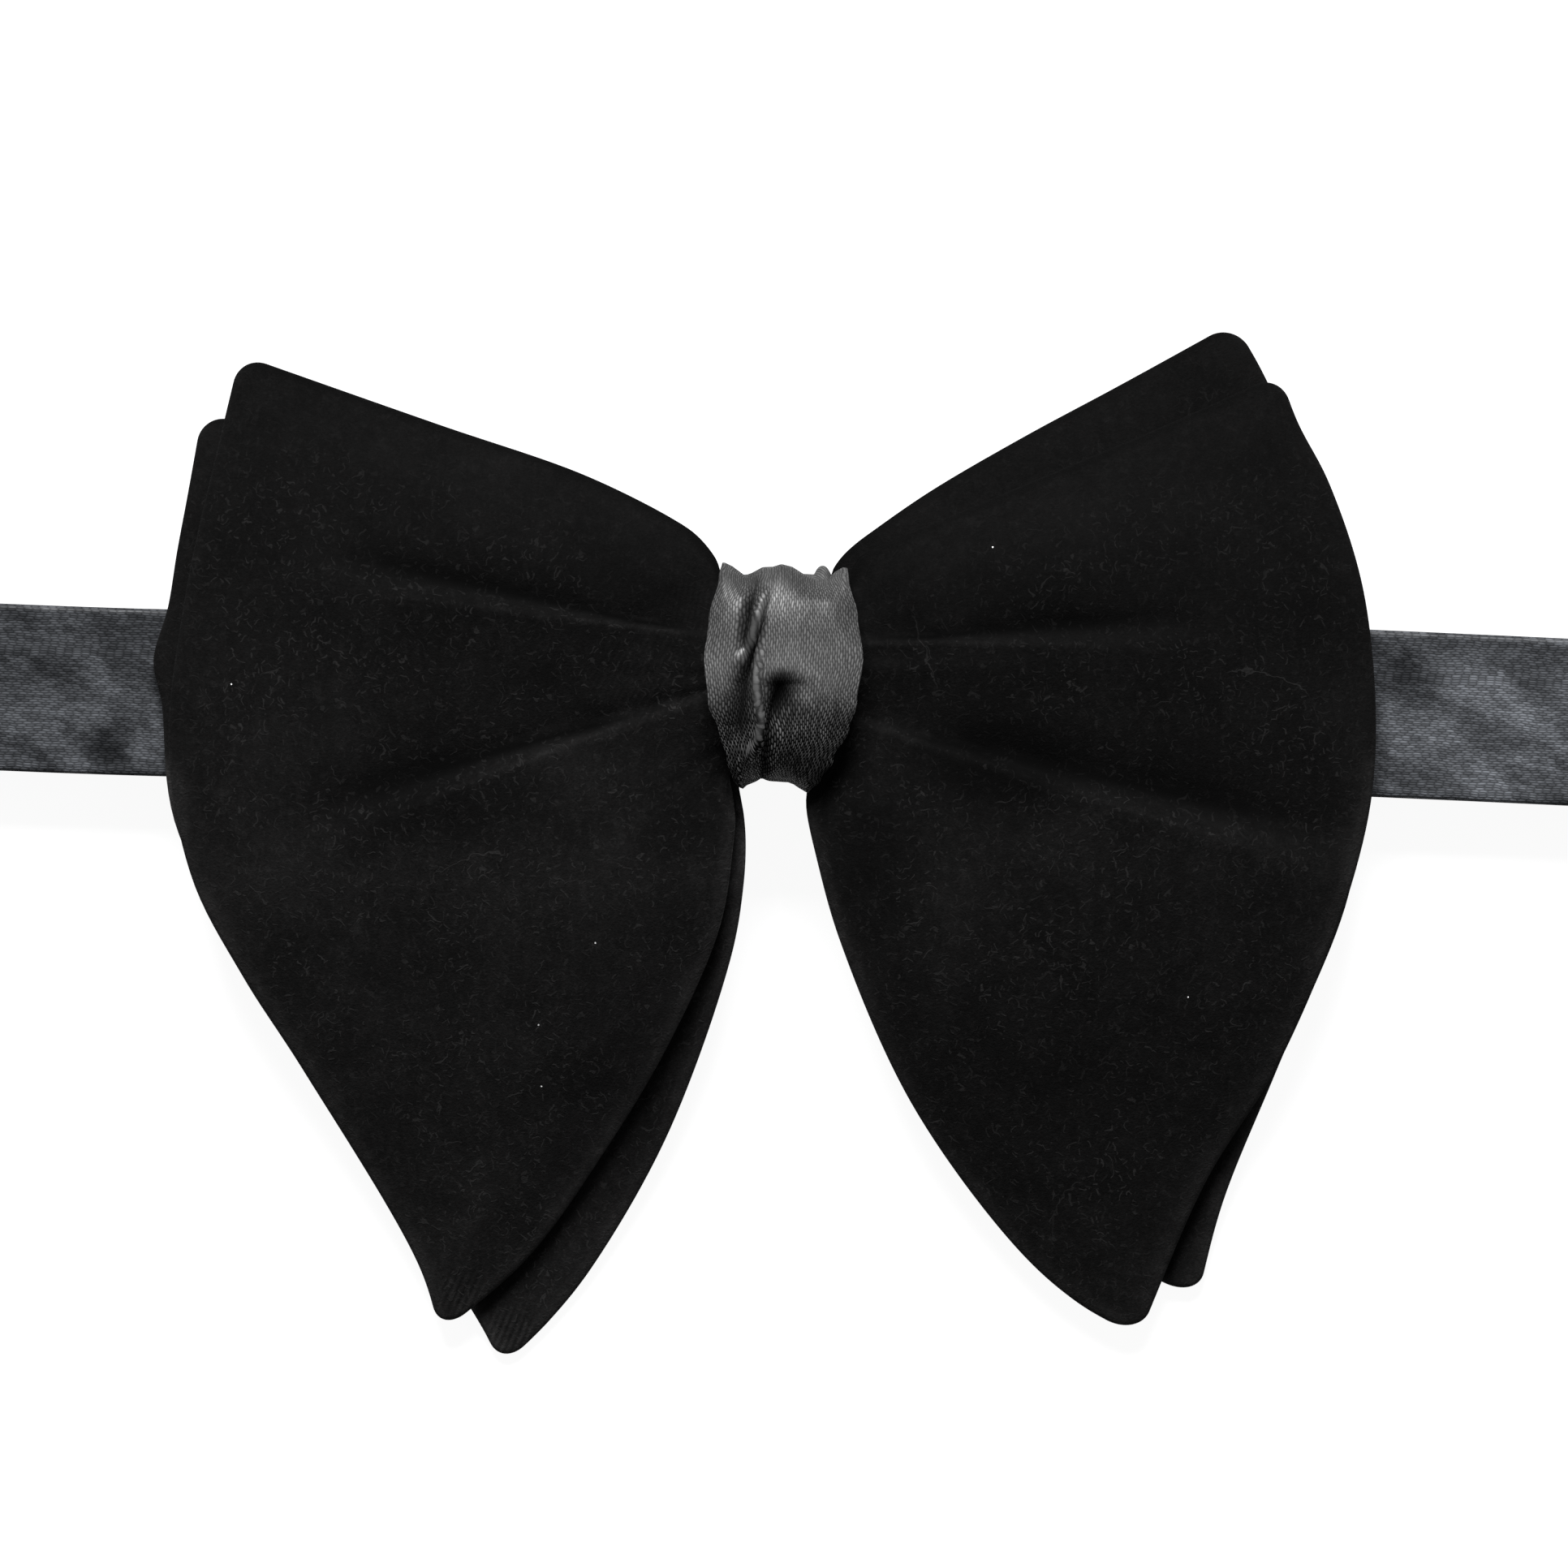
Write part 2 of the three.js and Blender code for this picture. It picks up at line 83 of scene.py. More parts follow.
# The back bow shows the folds and gathers only faintly
BACK_SHARE_OF_FOLDS, BACK_FOLDS_START, BACK_SHARE_OF_GATHERS = 0.25, (6, 16), 0.5
# Along its rim the front bow settles onto the back one, and both are thinner where their plies are sewn
RIM_PUFF, RIM_REACH, RIM_DROOP, RIM_TAPER, RIM_HALF = 0.1, 15.0, 0.55, 8.0, 0.75
WAIST_HEIGHT_BACK, WAIST_HEIGHT_FRONT, WAIST_DOME, WAIST_DOME_HALF = 10.6, 13.9, 2.4, 13.0
# How far from the knot's middle each bow goes over from its waist to its drape
BACK_LEAVES_WAIST, FRONT_LEAVES_WAIST = (9, 30), (7, 21)
# Fine pleats fan out of the knot, and the velvet is slowly uneven beyond it
PLEAT_HEIGHT, PLEAT_CLOSENESS, PLEAT_FROM, PLEAT_REACH = 0.30, 9.0, 8, 22
UNEVEN_HEIGHT, UNEVEN_SCALE, UNEVEN_STARTS = 0.16, 0.05, (8, 25)

# Edges of the wings, as points that each edge passes through
FRONT_LEFT = {
    "upper": [
        (-7.3, 32.0), (-7.7, 33.0), (-8.3, 34.8), (-10.6, 37.7), (-13.6, 39.8), (-24.6, 45.3),
        (-42.6, 51.6), (-67.2, 60.3),
    ],
    "outer": [
        (-67.2, 60.3), (-69.5, 50.0), (-73.6, 30.0), (-75.6, 12.0), (-72.8, -4.2), (-66.6, -16.4),
        (-59.3, -27.9), (-45.2, -52.0), (-42.4, -60.7),
    ],
    "inner": [
        (-4.4, 9.5), (-6.5, 8.5), (-6.7, 6.5), (-6.0, 3.8), (-6.3, -0.9), (-7.9, -10.4), (-14.1, -24.6),
        (-21.7, -37.4), (-31.6, -51.2), (-42.4, -60.7),
    ],
}
FRONT_RIGHT = {
    "upper": [
        (8.0, 32.1), (8.3, 33.5), (9.4, 35.2), (12.4, 36.8), (18.4, 39.3), (33.4, 45.7), (48.4, 52.1),
        (61.2, 58.0),
    ],
    "outer": [
        (61.2, 58.0), (63.4, 51.9), (67.2, 44.2), (71.4, 30.0), (72.6, 10.0), (70.0, -4.2),
        (61.0, -27.0), (52.2, -41.5), (43.8, -61.1),
    ],
    "inner": [
        (2.6, 9.4), (3.2, 8.0), (2.75, 6.0), (2.75, 4.0), (3.9, -1.5), (6.9, -12.1), (15.7, -32.1),
        (28.5, -49.8), (36.1, -56.7), (43.8, -61.1),
    ],
}
BACK_LEFT = {
    "upper": [(-7.3, 32.1), (-9.2, 34.4), (-15.5, 38.2), (-28.0, 42.6), (-46.0, 47.0), (-71.9, 53.1)],
    "outer": [
        (-71.9, 53.1), (-73.5, 43.0), (-74.7, 36.0), (-75.8, 29.0), (-77.6, 22.4), (-76.6, 17.5),
        (-74.8, 2.0), (-58.0, -28.0), (-37.2, -60.3), (-35.0, -65.0),
    ],
    "inner": [
        (-4.2, 9.5), (-5.4, 8.3), (-5.5, 6.6), (-4.95, 3.6), (-4.7, 0.2), (-4.95, -5.0), (-6.5, -14.0),
        (-14.4, -36.1), (-23.6, -52.3), (-28.9, -59.0), (-35.0, -65.0),
    ],
}
BACK_RIGHT = {
    "upper": [
        (5.3, 32.1), (6.1, 33.8), (7.2, 35.3), (8.8, 36.8), (10.8, 38.3), (18.0, 43.3), (29.4, 50.0),
        (41.4, 56.5), (55.7, 64.4),
    ],
    "outer": [
        (55.7, 64.4), (59.6, 57.4), (69.0, 34.0), (71.4, 12.0), (69.6, -6.0), (60.8, -28.0),
        (54.3, -44.3), (51.1, -56.6),
    ],
    "inner": [(2.6, 9.5), (3.9, 7.4), (3.6, 4.0), (8.4, -12.0), (18.6, -31.5), (33.0, -46.5), (51.1, -56.6)],
}
BAND_LINE = [(-110, 19.75), (-78.6, 18.55), (-40, 17.9), (0, 18.5), (40, 17.3), (77.4, 15.75), (110, 14.25)]


class Fold(NamedTuple):
    """A fold pressed in by the knot: its crest line leaves the knot at waist_y and bends as it goes out."""

    side: int
    waist_y: float
    slope: float
    bend: float
    crest: float
    valley: float
    starts: float
    fade: tuple


FOLDS = [
    Fold(side=-1, waist_y=24.2, slope=0.14, bend=-0.0002, crest=0.9, valley=2.5, starts=7, fade=(42, 62)),
    Fold(side=-1, waist_y=20.7, slope=-0.281, bend=-0.0015, crest=0.9, valley=2.8, starts=14, fade=(42, 62)),
    Fold(side=1, waist_y=24.3, slope=0.044, bend=-0.0011, crest=0.8, valley=2.3, starts=7, fade=(34, 56)),
    Fold(side=1, waist_y=17.8, slope=-0.318, bend=0.0, crest=0.9, valley=3.0, starts=13, fade=(50, 74)),
]
CREST_LENGTH, VALLEY_LENGTH, FOLD_SPREAD = 7.5, 6.0, 0.014
VALLEY_OFFSET, VALLEY_OPENS_AT, VALLEY_OPENING = 0.5, 18.0, 0.1
# The share of a fold's height that it has at the waist, where the gathers press it flat
WAIST_SHARE, FULL_FOLD_FROM = 0.3, (6, 34)
# Painted light and shade of a fold: a painted highlight line and glow on its crest, a painted dark core and
# broad dusk of shade in its valley
CREST_LINE, CREST_GLOW, VALLEY_CORE, VALLEY_DUSK = 0.26, 0.06, 0.66, 0.28
CREST_LINE_WIDTH, CREST_LINE_OFFSET, CREST_GLOW_REACH, VALLEY_DUSK_REACH = 0.32, 0.2, 4.0, 3.6
VALLEY_CORE_SHARE, VALLEY_CORE_LEAST, SHADE_RISES_OVER = 0.5, 0.12, 9


class Patch(NamedTuple):
    """An oval place where painted light or shade makes a cloth lighter or darker than the rest."""

    x: float
    y: float
    half_width: float
    half_height: float
    tone: float


class ToneSpot(NamedTuple):
    """A round place where satin is made lighter or darker."""

    x: float
    y: float
    radius: float
    tone: float


BAND_TONE_SPOTS = (
    ToneSpot(-83, 13.5, 9, 0.5),
    ToneSpot(-82.9, 12.3, 4.8, -0.75),
    ToneSpot(-92, 24, 11, -0.3),
    ToneSpot(78, 21.3, 6.5, -0.5),
    ToneSpot(86, 13, 20, 0.75),
)
# Painted shade where the knot's satin turns away from the light
KNOT_SHADES = (
    Patch(-6.2, 13.0, 4.2, 4.5, -0.25),
    Patch(-1.0, 28.3, 16.0, 6.0, -0.27),
    Patch(5.2, 16.0, 4.5, 3.5, -0.25),
    Patch(0.4, 16.7, 3.4, 3.2, -0.72),
    Patch(2.5, 10.5, 5.0, 3.5, -0.45),
    Patch(-0.5, 18.7, 2.3, 2.2, -0.5),
)
# Patches of painted shade on the velvet, with one of faint painted light
PAINTED_SHADE_PATCHES = (
    Patch(40, -26, 30, 34, -0.16),
    Patch(52, 8, 26, 10, -0.28),
    Patch(26, 9.5, 16, 9, -0.58),
    Patch(38, 19, 30, 7, -0.04),
    Patch(-45, 23, 34, 9, 0.03),
    Patch(-46, 5, 24, 8, -0.5),
    Patch(-12, 4, 10, 12, -0.4),
    Patch(9, 0, 10, 14, -0.4),
)
# Inside this share of its reach a patch or tone spot has its full tone
PATCH_CORE = 0.2

# Painted light and shade on the velvet: painted light low on the bow, painted shade high on it, and a little
# more painted shade on the right-hand wing
PAINTED_LIGHT_LOW, PAINTED_SHADE_HIGH, PAINTED_SHADE_DEEPENS, LEAST_PAINTED_TONE = 1.08, 0.35, (-8, 44), 0.2
PAINTED_SHADE_RIGHT, PAINTED_SHADE_GOES_RIGHT = 0.8, (-4, 14)
# Along the upper and outer edges a painted sheen lightens it, with painted shade at the very edge that tones
# down the rim's highlight, and a painted highlight along the lower rims
UPPER_GLEAM, UPPER_GLEAM_REACH, OUTER_GLEAM, OUTER_GLEAM_REACH = 0.22, 4.0, 0.12, 3.5
OUTER_GLEAM_FROM, EDGE_PAINTED_SHADE, EDGE_PAINTED_SHADE_REACH = (-30, 25), 0.75, 1.5
LOW_RIM_GLEAM, LOW_RIM_REACH, LOW_RIM_BELOW, FAR_AWAY = 1.5, 1.1, 10, 99
# Painted light lifts the back bow where the front bow shades it, most of all on the lower lobes and beside
# the notch
BACK_PAINTED_LIGHT, BACK_LOBE_PAINTED_LIGHT, BACK_LOBE_FROM_RIM, BACK_LOBE_FADES = 1.08, 0.3, (1.5, 8), (-14, 4)
NOTCH_PAINTED_LIGHT, NOTCH_Y, NOTCH_HALF = 1.3, 4, 9
# Share of the lint that is kept near the edges, high on the bow and where painted shade darkens the pile
LINT_NEAR_TOP, LINT_NEAR_OUTER, LINT_HIGH_UP, LINT_IN_DARK = 0.12, 0.4, 0.8, 0.75


class Pucker(NamedTuple):
    """Short parallel wrinkles round a point, drawn as painted stripes of light and shade: their reach, how
    close they lie, their slant and depth.
    """

    x: float
    y: float
    radius: float
    pitch: float
    slant: float
    depth: float


# The sewn tips are puckered, and the velvet is ribbed where the knot squeezes it, both drawn as painted light
# and shade
PUCKERS = [
    Pucker(-40.0, -55.6, 4.0, 0.8, 0.44, 0.4),
    Pucker(-33.8, -60.4, 4.2, 0.8, 0.4, 0.4),
    Pucker(-17.0, 20.5, 10.0, 0.75, 0.5, 0.14),
    Pucker(-11.5, 29.0, 5.0, 0.7, 0.2, 0.16),
    Pucker(-11.0, 7.5, 5.5, 0.7, 0.7, 0.14),
]


class Strokes(NamedTuple):
    """A sort of fibre caught in the pile: how far apart, its size, and the share of places that have one."""

    spacing: float
    half_length: float
    half_width: float
    share: float
    shift: float


LINT = [
    Strokes(0.85, 0.36, 0.14, 0.5, 3.0),
    Strokes(1.4, 0.55, 0.14, 0.45, 17.0),
    Strokes(2.6, 1.0, 0.14, 0.3, 51.0),
    Strokes(15.0, 6.0, 0.14, 0.3, 31.0),
]
LINT_CURL, DUST_SHARE = 1.7, 0.7
# Bright flecks of dust, as they lie in the photograph
FLECKS = [(-67.8, 19.5), (-23.1, -12.2), (49.6, -18.9), (-29.8, -29.9), (25.6, 36.3), (-30.1, -22.3)]
FLECK_RADIUS = 0.12
VELVET_DARK, VELVET_LIGHT = (0.0017, 0.00166, 0.00166), (0.0042, 0.00407, 0.00407)
LINT_COLOUR, FLECK_COLOUR, SHEEN_COLOUR = (0.0098, 0.0096, 0.0096), (0.5, 0.5, 0.5), (0.5, 0.5, 0.51, 1)


class Bend(NamedTuple):
    """A point along a crease or ridge of the knot's front: its place, its height, and its banks' widths."""

    x: float
    y: float
    height: float
    left: float
    right: float


# Each crease runs up the knot, from its lower end to its upper one
KNOT_CREASES = {
    "upper valley": [
        Bend(-5.1, 22.0, 0.0, 0.8, 0.5),
        Bend(-4.8, 23.6, -0.6, 0.8, 0.5),
        Bend(-4.4, 26.0, -1.3, 0.85, 0.5),
        Bend(-4.05, 28.3, -1.2, 0.85, 0.5),
        Bend(-3.5, 30.9, -0.6, 0.8, 0.5),
        Bend(-2.9, 33.2, 0.0, 1.0, 0.5),
    ],
    "upper ridge": [
        Bend(-5.8, 21.6, 0.0, 0.6, 0.6),
        Bend(-5.2, 22.6, 0.3, 0.6, 0.6),
        Bend(-4.1, 24.5, 0.6, 0.5, 0.6),
        Bend(-3.5, 26.9, 0.65, 0.5, 0.6),
        Bend(-2.7, 29.0, 0.4, 0.5, 0.6),
        Bend(-2.0, 30.6, 0.0, 0.5, 0.6),
    ],
    "long valley": [
        Bend(-5.4, 11.5, 0.0, 1.6, 1.2),
        Bend(-5.3, 14.0, -0.9, 2.0, 1.6),
        Bend(-5.0, 16.7, -1.5, 2.0, 1.5),
        Bend(-4.5, 19.6, -1.7, 1.7, 1.0),
        Bend(-3.75, 22.4, -1.8, 1.0, 0.55),
        Bend(-3.1, 24.8, -1.1, 0.8, 0.45),
        Bend(-2.6, 26.4, -0.6, 0.8, 0.4),
        Bend(-2.3, 27.4, 0.0, 0.8, 0.4),
    ],
    "long ridge": [
        Bend(-4.4, 10.4, 0.0, 0.8, 0.5),
        Bend(-4.0, 11.6, 0.5, 0.9, 0.4),
        Bend(-3.1, 12.8, 0.6, 0.5, 0.25),
        Bend(-2.8, 15.0, 0.6, 0.22, 0.22),
        Bend(-3.2, 17.4, 0.65, 0.22, 0.22),
        Bend(-3.35, 19.2, 0.6, 0.25, 0.28),
        Bend(-3.2, 21.4, 0.5, 0.3, 0.45),
        Bend(-3.0, 23.2, 0.3, 0.3, 0.5),
        Bend(-2.6, 25.2, 0.0, 0.4, 0.5),
    ],
    "pocket": [
        Bend(-2.7, 8.6, -0.7, 0.5, 0.6),
        Bend(-2.2, 11.2, -1.1, 0.5, 0.6),
        Bend(-2.0, 13.6, -1.3, 0.55, 0.6),
        Bend(-1.75, 15.6, -1.6, 0.7, 1.0),
        Bend(-1.4, 17.1, -1.9, 0.9, 2.0),
        Bend(-0.9, 18.4, -1.8, 1.3, 2.5),
        Bend(-0.6, 19.6, -1.6, 1.4, 2.4),
        Bend(-0.2, 20.6, -0.6, 1.3, 1.5),
        Bend(0.1, 21.2, 0.0, 0.8, 1.2),
    ],
}

# How far the knot's top and foot stand out at places across them: the cloth is scalloped by its creases,
# and a small fold behind the top stands up where the front dips
TOP_EDGE = [
    (-7.4, 0.75), (-6.6, 0.3), (-4.9, -1.2), (-3.8, -0.9), (-2.5, -0.3), (-1.3, -0.3), (-0.3, 0.0),
    (0.8, -0.3), (2.1, -1.1), (3.6, -1.75), (5.4, -1.6), (6.6, -0.4), (7.3, 0.1),
]
FOOT_EDGE = [
    (-5.4, 1.4), (-4.8, 0.8), (-3.1, -0.2), (-0.9, -0.1), (0.6, 0.1), (1.4, 0.5), (2.1, 1.1), (2.9, 1.7),
]
BACK_FOLD_X, BACK_FOLD_HALF, BACK_FOLD_LIFT, BACK_SUNK = 4.75, 0.75, 1.7, 1.2


class Width(NamedTuple):
    """Half the knot's width, and its middle, at a height up its front."""

    y: float
    half: float
    middle: float


KNOT_WIDTHS = [
    Width(7.85, 4.2, -1.2),
    Width(8.9, 5.2, -0.95),
    Width(10.4, 6.3, -0.5),
    Width(13.4, 7.8, -0.1),
    Width(17.0, 8.9, -0.2),
    Width(22.5, 9.5, -0.05),
    Width(28.0, 8.9, -0.05),
    Width(32.6, 7.75, 0.0),
    Width(33.75, 7.6, 0.1),
]
KNOT_BACK_HALF = 7.2
# At the knot's top right the strip's back part is folded in, and the back bow comes out beside it
BACK_HALF_AT_TOP = 5.4
KNOT_CROWN, KNOT_LIP, KNOT_END_SHARE, KNOT_UNEVEN = 1.3, 0.4, 0.12, 0.12
KNOT_TOP_POWER, KNOT_FOOT_POWER, KNOT_BACK_POWER = 2.4, 1.95, 7.0
# Painted shade in the knot's creases and a painted glint on its ridges, and how deep the creases are pressed
CREASE_DARKNESS, RIDGE_GLINT, CREASE_DEPTH = 0.9, 0.75, 1.2
# How high or deep a crease is when its tone, its glint and its tautness are full
FULL_CREASE, FULL_GLINT, FULL_TAUT = 1.1, 0.6, 0.4
# Towards the knot's top the satin is pulled taut, so that its floats run into lines, and painted shade
# darkens the very top; up its front the floats' painted light and shade are evened out and their relief
# flattened
TOP_TAUT, TOP_TAUT_OVER, TOP_PAINTED_SHADE, TOP_DARKENS = 0.75, (28.5, 32.0), 0.72, (30, 32.5)
FRONT_TAUT, FRONT_TAUT_OVER = 0.48, (11.0, 20.0)
# A painted highlight lightens the satin across the knot's middle, and painted shade darkens it where it turns
# under at the foot
MIDDLE_PAINTED_HIGHLIGHT, MIDDLE_PAINTED_HIGHLIGHT_HALF, FOOT_PAINTED_SHADE, FOOT_LIGHTENS = 0.75, 5.0, 0.6, (8.5, 14)
# The least light that the ground between the satin's floats gives back
LEAST_LIGHT = 0.05
# Share of a float by which each thread of the satin is set on from the last
FLOAT_STEP = 0.46
# How dark the painted shade on the ground between the threads is, and how light the painted highlights on
# their crowns, at full contrast
GROUND_PAINTED_SHADE, CROWN_PAINTED_HIGHLIGHT, SATIN_ROUGHNESS = 0.95, 0.45, 0.46
# A taut cloth loses this much of the threads' contrast and relief, and its mean light is this
TAUT_EVENNESS, TAUT_FLATNESS, TAUT_LIGHT = 0.7, 0.85, 0.75

# How finely each cloth is meshed
WING_COLUMNS, WING_ROWS = ((120, 120))
KNOT_TURNS, KNOT_COLUMNS = ((250, 170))
BAND_STEPS, BAND_COLUMNS = 400, 42
END_CROWDING, OUTER_CROWDING = 0.62, 0.35


def clamp(x, low=0.0, high=1.0):
    return min(high, max(low, x))


def mix(a, b, t):
    return a + (b - a) * t


def smooth(low, high, x):
    t = clamp((x - low) / (high - low))
    return t * t * (3 - 2 * t)


class Line:
    """A smooth centripetal curve through points, read by the share of its length."""

    def __init__(self, points, steps_per_span=20):
        knots = [Vector(p).to_3d() for p in points]
        knots = [2 * knots[0] - knots[1], *knots, 2 * knots[-1] - knots[-2]]
        samples = []
        for a, b, c, d in zip(knots, knots[1:], knots[2:], knots[3:]):
            before, here, after = (math.sqrt((q - p).length) for p, q in ((a, b), (b, c), (c, d)))
            start = ((b - a) / before - (c - a) / (before + here) + (c - b) / here) * here
            end = ((c - b) / here - (d - b) / (here + after) + (d - c) / after) * here
            for i in range(steps_per_span):
                t = i / steps_per_span
                samples.append(
                    b * (2 * t**3 - 3 * t**2 + 1)
                    + c * (3 * t**2 - 2 * t**3)
                    + start * (t**3 - 2 * t**2 + t)
                    + end * (t**3 - t**2)
                )
        samples.append(knots[-2])
        self.xs = np.array([p.x for p in samples])
        self.ys = np.array([p.y for p in samples])
        walked = np.cumsum(np.hypot(np.diff(self.xs), np.diff(self.ys)))
        self.walked = np.concatenate([[0.0], walked])
        self.length = float(self.walked[-1])

    def at(self, share):
        walked = share * self.length
        return float(np.interp(walked, self.walked, self.xs)), float(np.interp(walked, self.walked, self.ys))

    def y_at_x(self, x):
        return float(np.interp(x, self.xs, self.ys))

    def distance(self, x, y):
        step_x, step_y = np.diff(self.xs), np.diff(self.ys)
        to_x, to_y = x - self.xs[:-1], y - self.ys[:-1]
        share = (to_x * step_x + to_y * step_y) / np.maximum(step_x**2 + step_y**2, 1e-12)
        share = np.clip(share, 0, 1)
        return float(np.min(np.hypot(to_x - share * step_x, to_y - share * step_y)))


band_line = Line(BAND_LINE)


def crest_y(fold, out):
    return fold.waist_y + fold.slope * out + fold.bend * out * out


def fold_height(x, y):
    """How far the folds lift or sink the cloth at a point seen from above."""
    out = abs(x)
    height = 0.0
    for fold in FOLDS:
        if x * fold.side <= 0:
            continue
        slope = fold.slope + 2 * fold.bend * out
        below = (crest_y(fold, out) - y) / math.hypot(1, slope)
        spread = 1 + FOLD_SPREAD * out
        step = VALLEY_OFFSET + VALLEY_OPENING * max(0.0, out - VALLEY_OPENS_AT)
        strength = (1 - smooth(*fold.fade, out)) * mix(WAIST_SHARE, 1, smooth(*FULL_FOLD_FROM, out))
        if below >= 0:
            profile = fold.crest * math.exp(-below / (CREST_LENGTH * spread))
        elif below > -step:
            profile = mix(fold.crest, -fold.valley, smooth(0, step, -below))
        else:
            profile = -fold.valley * math.exp((below + step) / (VALLEY_LENGTH * spread))
        height += strength * profile
    return height


def gather_height(x, y, from_knot):
    """Fine pleats that fan out of the knot and die away, and the slow unevenness of hand-sewn velvet."""
    angle = math.atan2(y - KNOT_Y, abs(x) + 4)
    fan = noise.noise((angle * PLEAT_CLOSENESS, from_knot * 0.02, 3.0 * math.copysign(1, x)))
    pleats = PLEAT_HEIGHT * fan * math.exp(-((from_knot - PLEAT_FROM) / PLEAT_REACH) ** 2)
    uneven = UNEVEN_HEIGHT * noise.noise((x * UNEVEN_SCALE, y * UNEVEN_SCALE, 11.0))
    return pleats + uneven * smooth(*UNEVEN_STARTS, from_knot)


def cloth_height(is_front, x, y, from_rim):
    """Middle of a bow's cloth above the table: it arches over the band and droops at its tips."""
    above = y - band_line.y_at_x(x)
    past = max(0.0, abs(above) - BAND_WIDTH / 2)
    reach = ARCH_REACH_UP if above > 0 else ARCH_REACH_DOWN
    arch = (1 + math.cos(math.pi * clamp(past / reach))) / 2
    lift = ARCH_OVER_BAND + LIFT_NEAR_KNOT * (1 - smooth(*LIFT_FADES, abs(x)))
    drape = TIP_HEIGHT + lift * arch
    from_knot = math.hypot(x, y - KNOT_Y)
    fold = fold_height(x, y)
    gather = gather_height(x, y, from_knot)
    if not is_front:
        height = mix(WAIST_HEIGHT_BACK, drape, smooth(*BACK_LEAVES_WAIST, from_knot))
        height += BACK_SHARE_OF_FOLDS * fold * smooth(*BACK_FOLDS_START, from_knot)
        return height + gather * BACK_SHARE_OF_GATHERS
    puff = PUFF * math.exp(-(((from_knot - PUFF_RADIUS) / PUFF_SPREAD) ** 2))
    puff *= mix(RIM_PUFF, 1, smooth(0, RIM_REACH, from_rim))
    puff -= RIM_DROOP * (1 - smooth(0, RIM_TAPER, from_rim))
    dome = WAIST_DOME * clamp(1 - ((y - KNOT_Y) / WAIST_DOME_HALF) ** 2)
    draped = smooth(*FRONT_LEAVES_WAIST, from_knot)
    height = mix(WAIST_HEIGHT_FRONT + dome, drape + LAYER_GAP + puff, draped)
    return height + fold + gather


class Margins(NamedTuple):
    """How far a place on a wing is from its upper, outer and inner edges."""

    upper: float
    outer: float
    inner: float


def patch_tone(patch, x, y):
    """How much a patch adds to the tone at a point."""
    away = math.hypot((x - patch.x) / patch.half_width, (y - patch.y) / patch.half_height)
    return patch.tone * (1 - smooth(PATCH_CORE, 1.0, away))


def painted_shade_tone(is_front, x, y, margins):
    """The painted light and shade on the pile: painted sheen along the upper and outer edges and the lower
    rims, painted shade high on the bow, at the very edge and in patches, and painted light on the back bow
    where the front one shades it.
    """
    tone = mix(PAINTED_LIGHT_LOW, PAINTED_SHADE_HIGH, smooth(*PAINTED_SHADE_DEEPENS, y)) * mix(1, PAINTED_SHADE_RIGHT, smooth(*PAINTED_SHADE_GOES_RIGHT, x))
    outer_gleam = OUTER_GLEAM * math.exp(-margins.outer / OUTER_GLEAM_REACH)
    tone += UPPER_GLEAM * math.exp(-margins.upper / UPPER_GLEAM_REACH)
    tone += outer_gleam * smooth(*OUTER_GLEAM_FROM, y)
    tone *= 1 - EDGE_PAINTED_SHADE * (1 - smooth(0, EDGE_PAINTED_SHADE_REACH, margins.upper))
    low_rim = min(margins.inner, margins.outer if y < LOW_RIM_BELOW else FAR_AWAY)
    tone *= 1 + LOW_RIM_GLEAM * math.exp(-((low_rim / LOW_RIM_REACH) ** 2))
    for patch in PAINTED_SHADE_PATCHES:
        tone += patch_tone(patch, x, y)
    tone = max(tone, LEAST_PAINTED_TONE)
    if is_front:
        return tone
    beside_notch = math.exp(-(((y - NOTCH_Y) / NOTCH_HALF) ** 2)) if x < 0 else 0
    lobe = BACK_LOBE_PAINTED_LIGHT * smooth(*BACK_LOBE_FROM_RIM, margins.inner) * (1 - smooth(*BACK_LOBE_FADES, y))
    return tone * (BACK_PAINTED_LIGHT + lobe + NOTCH_PAINTED_LIGHT * beside_notch)


def lint_share(y, margins, tone):
    """How much lint lies on the pile: most low on the wings, little along the edges and in the dark."""
    kept = mix(LINT_NEAR_TOP, 1, smooth(2, 14, margins.upper))
    kept *= mix(LINT_NEAR_OUTER, 1, smooth(0, 6, margins.outer))
    return kept * mix(1, LINT_HIGH_UP, smooth(-22, 4, y)) * mix(LINT_IN_DARK, 1, smooth(0.3, 0.9, tone))


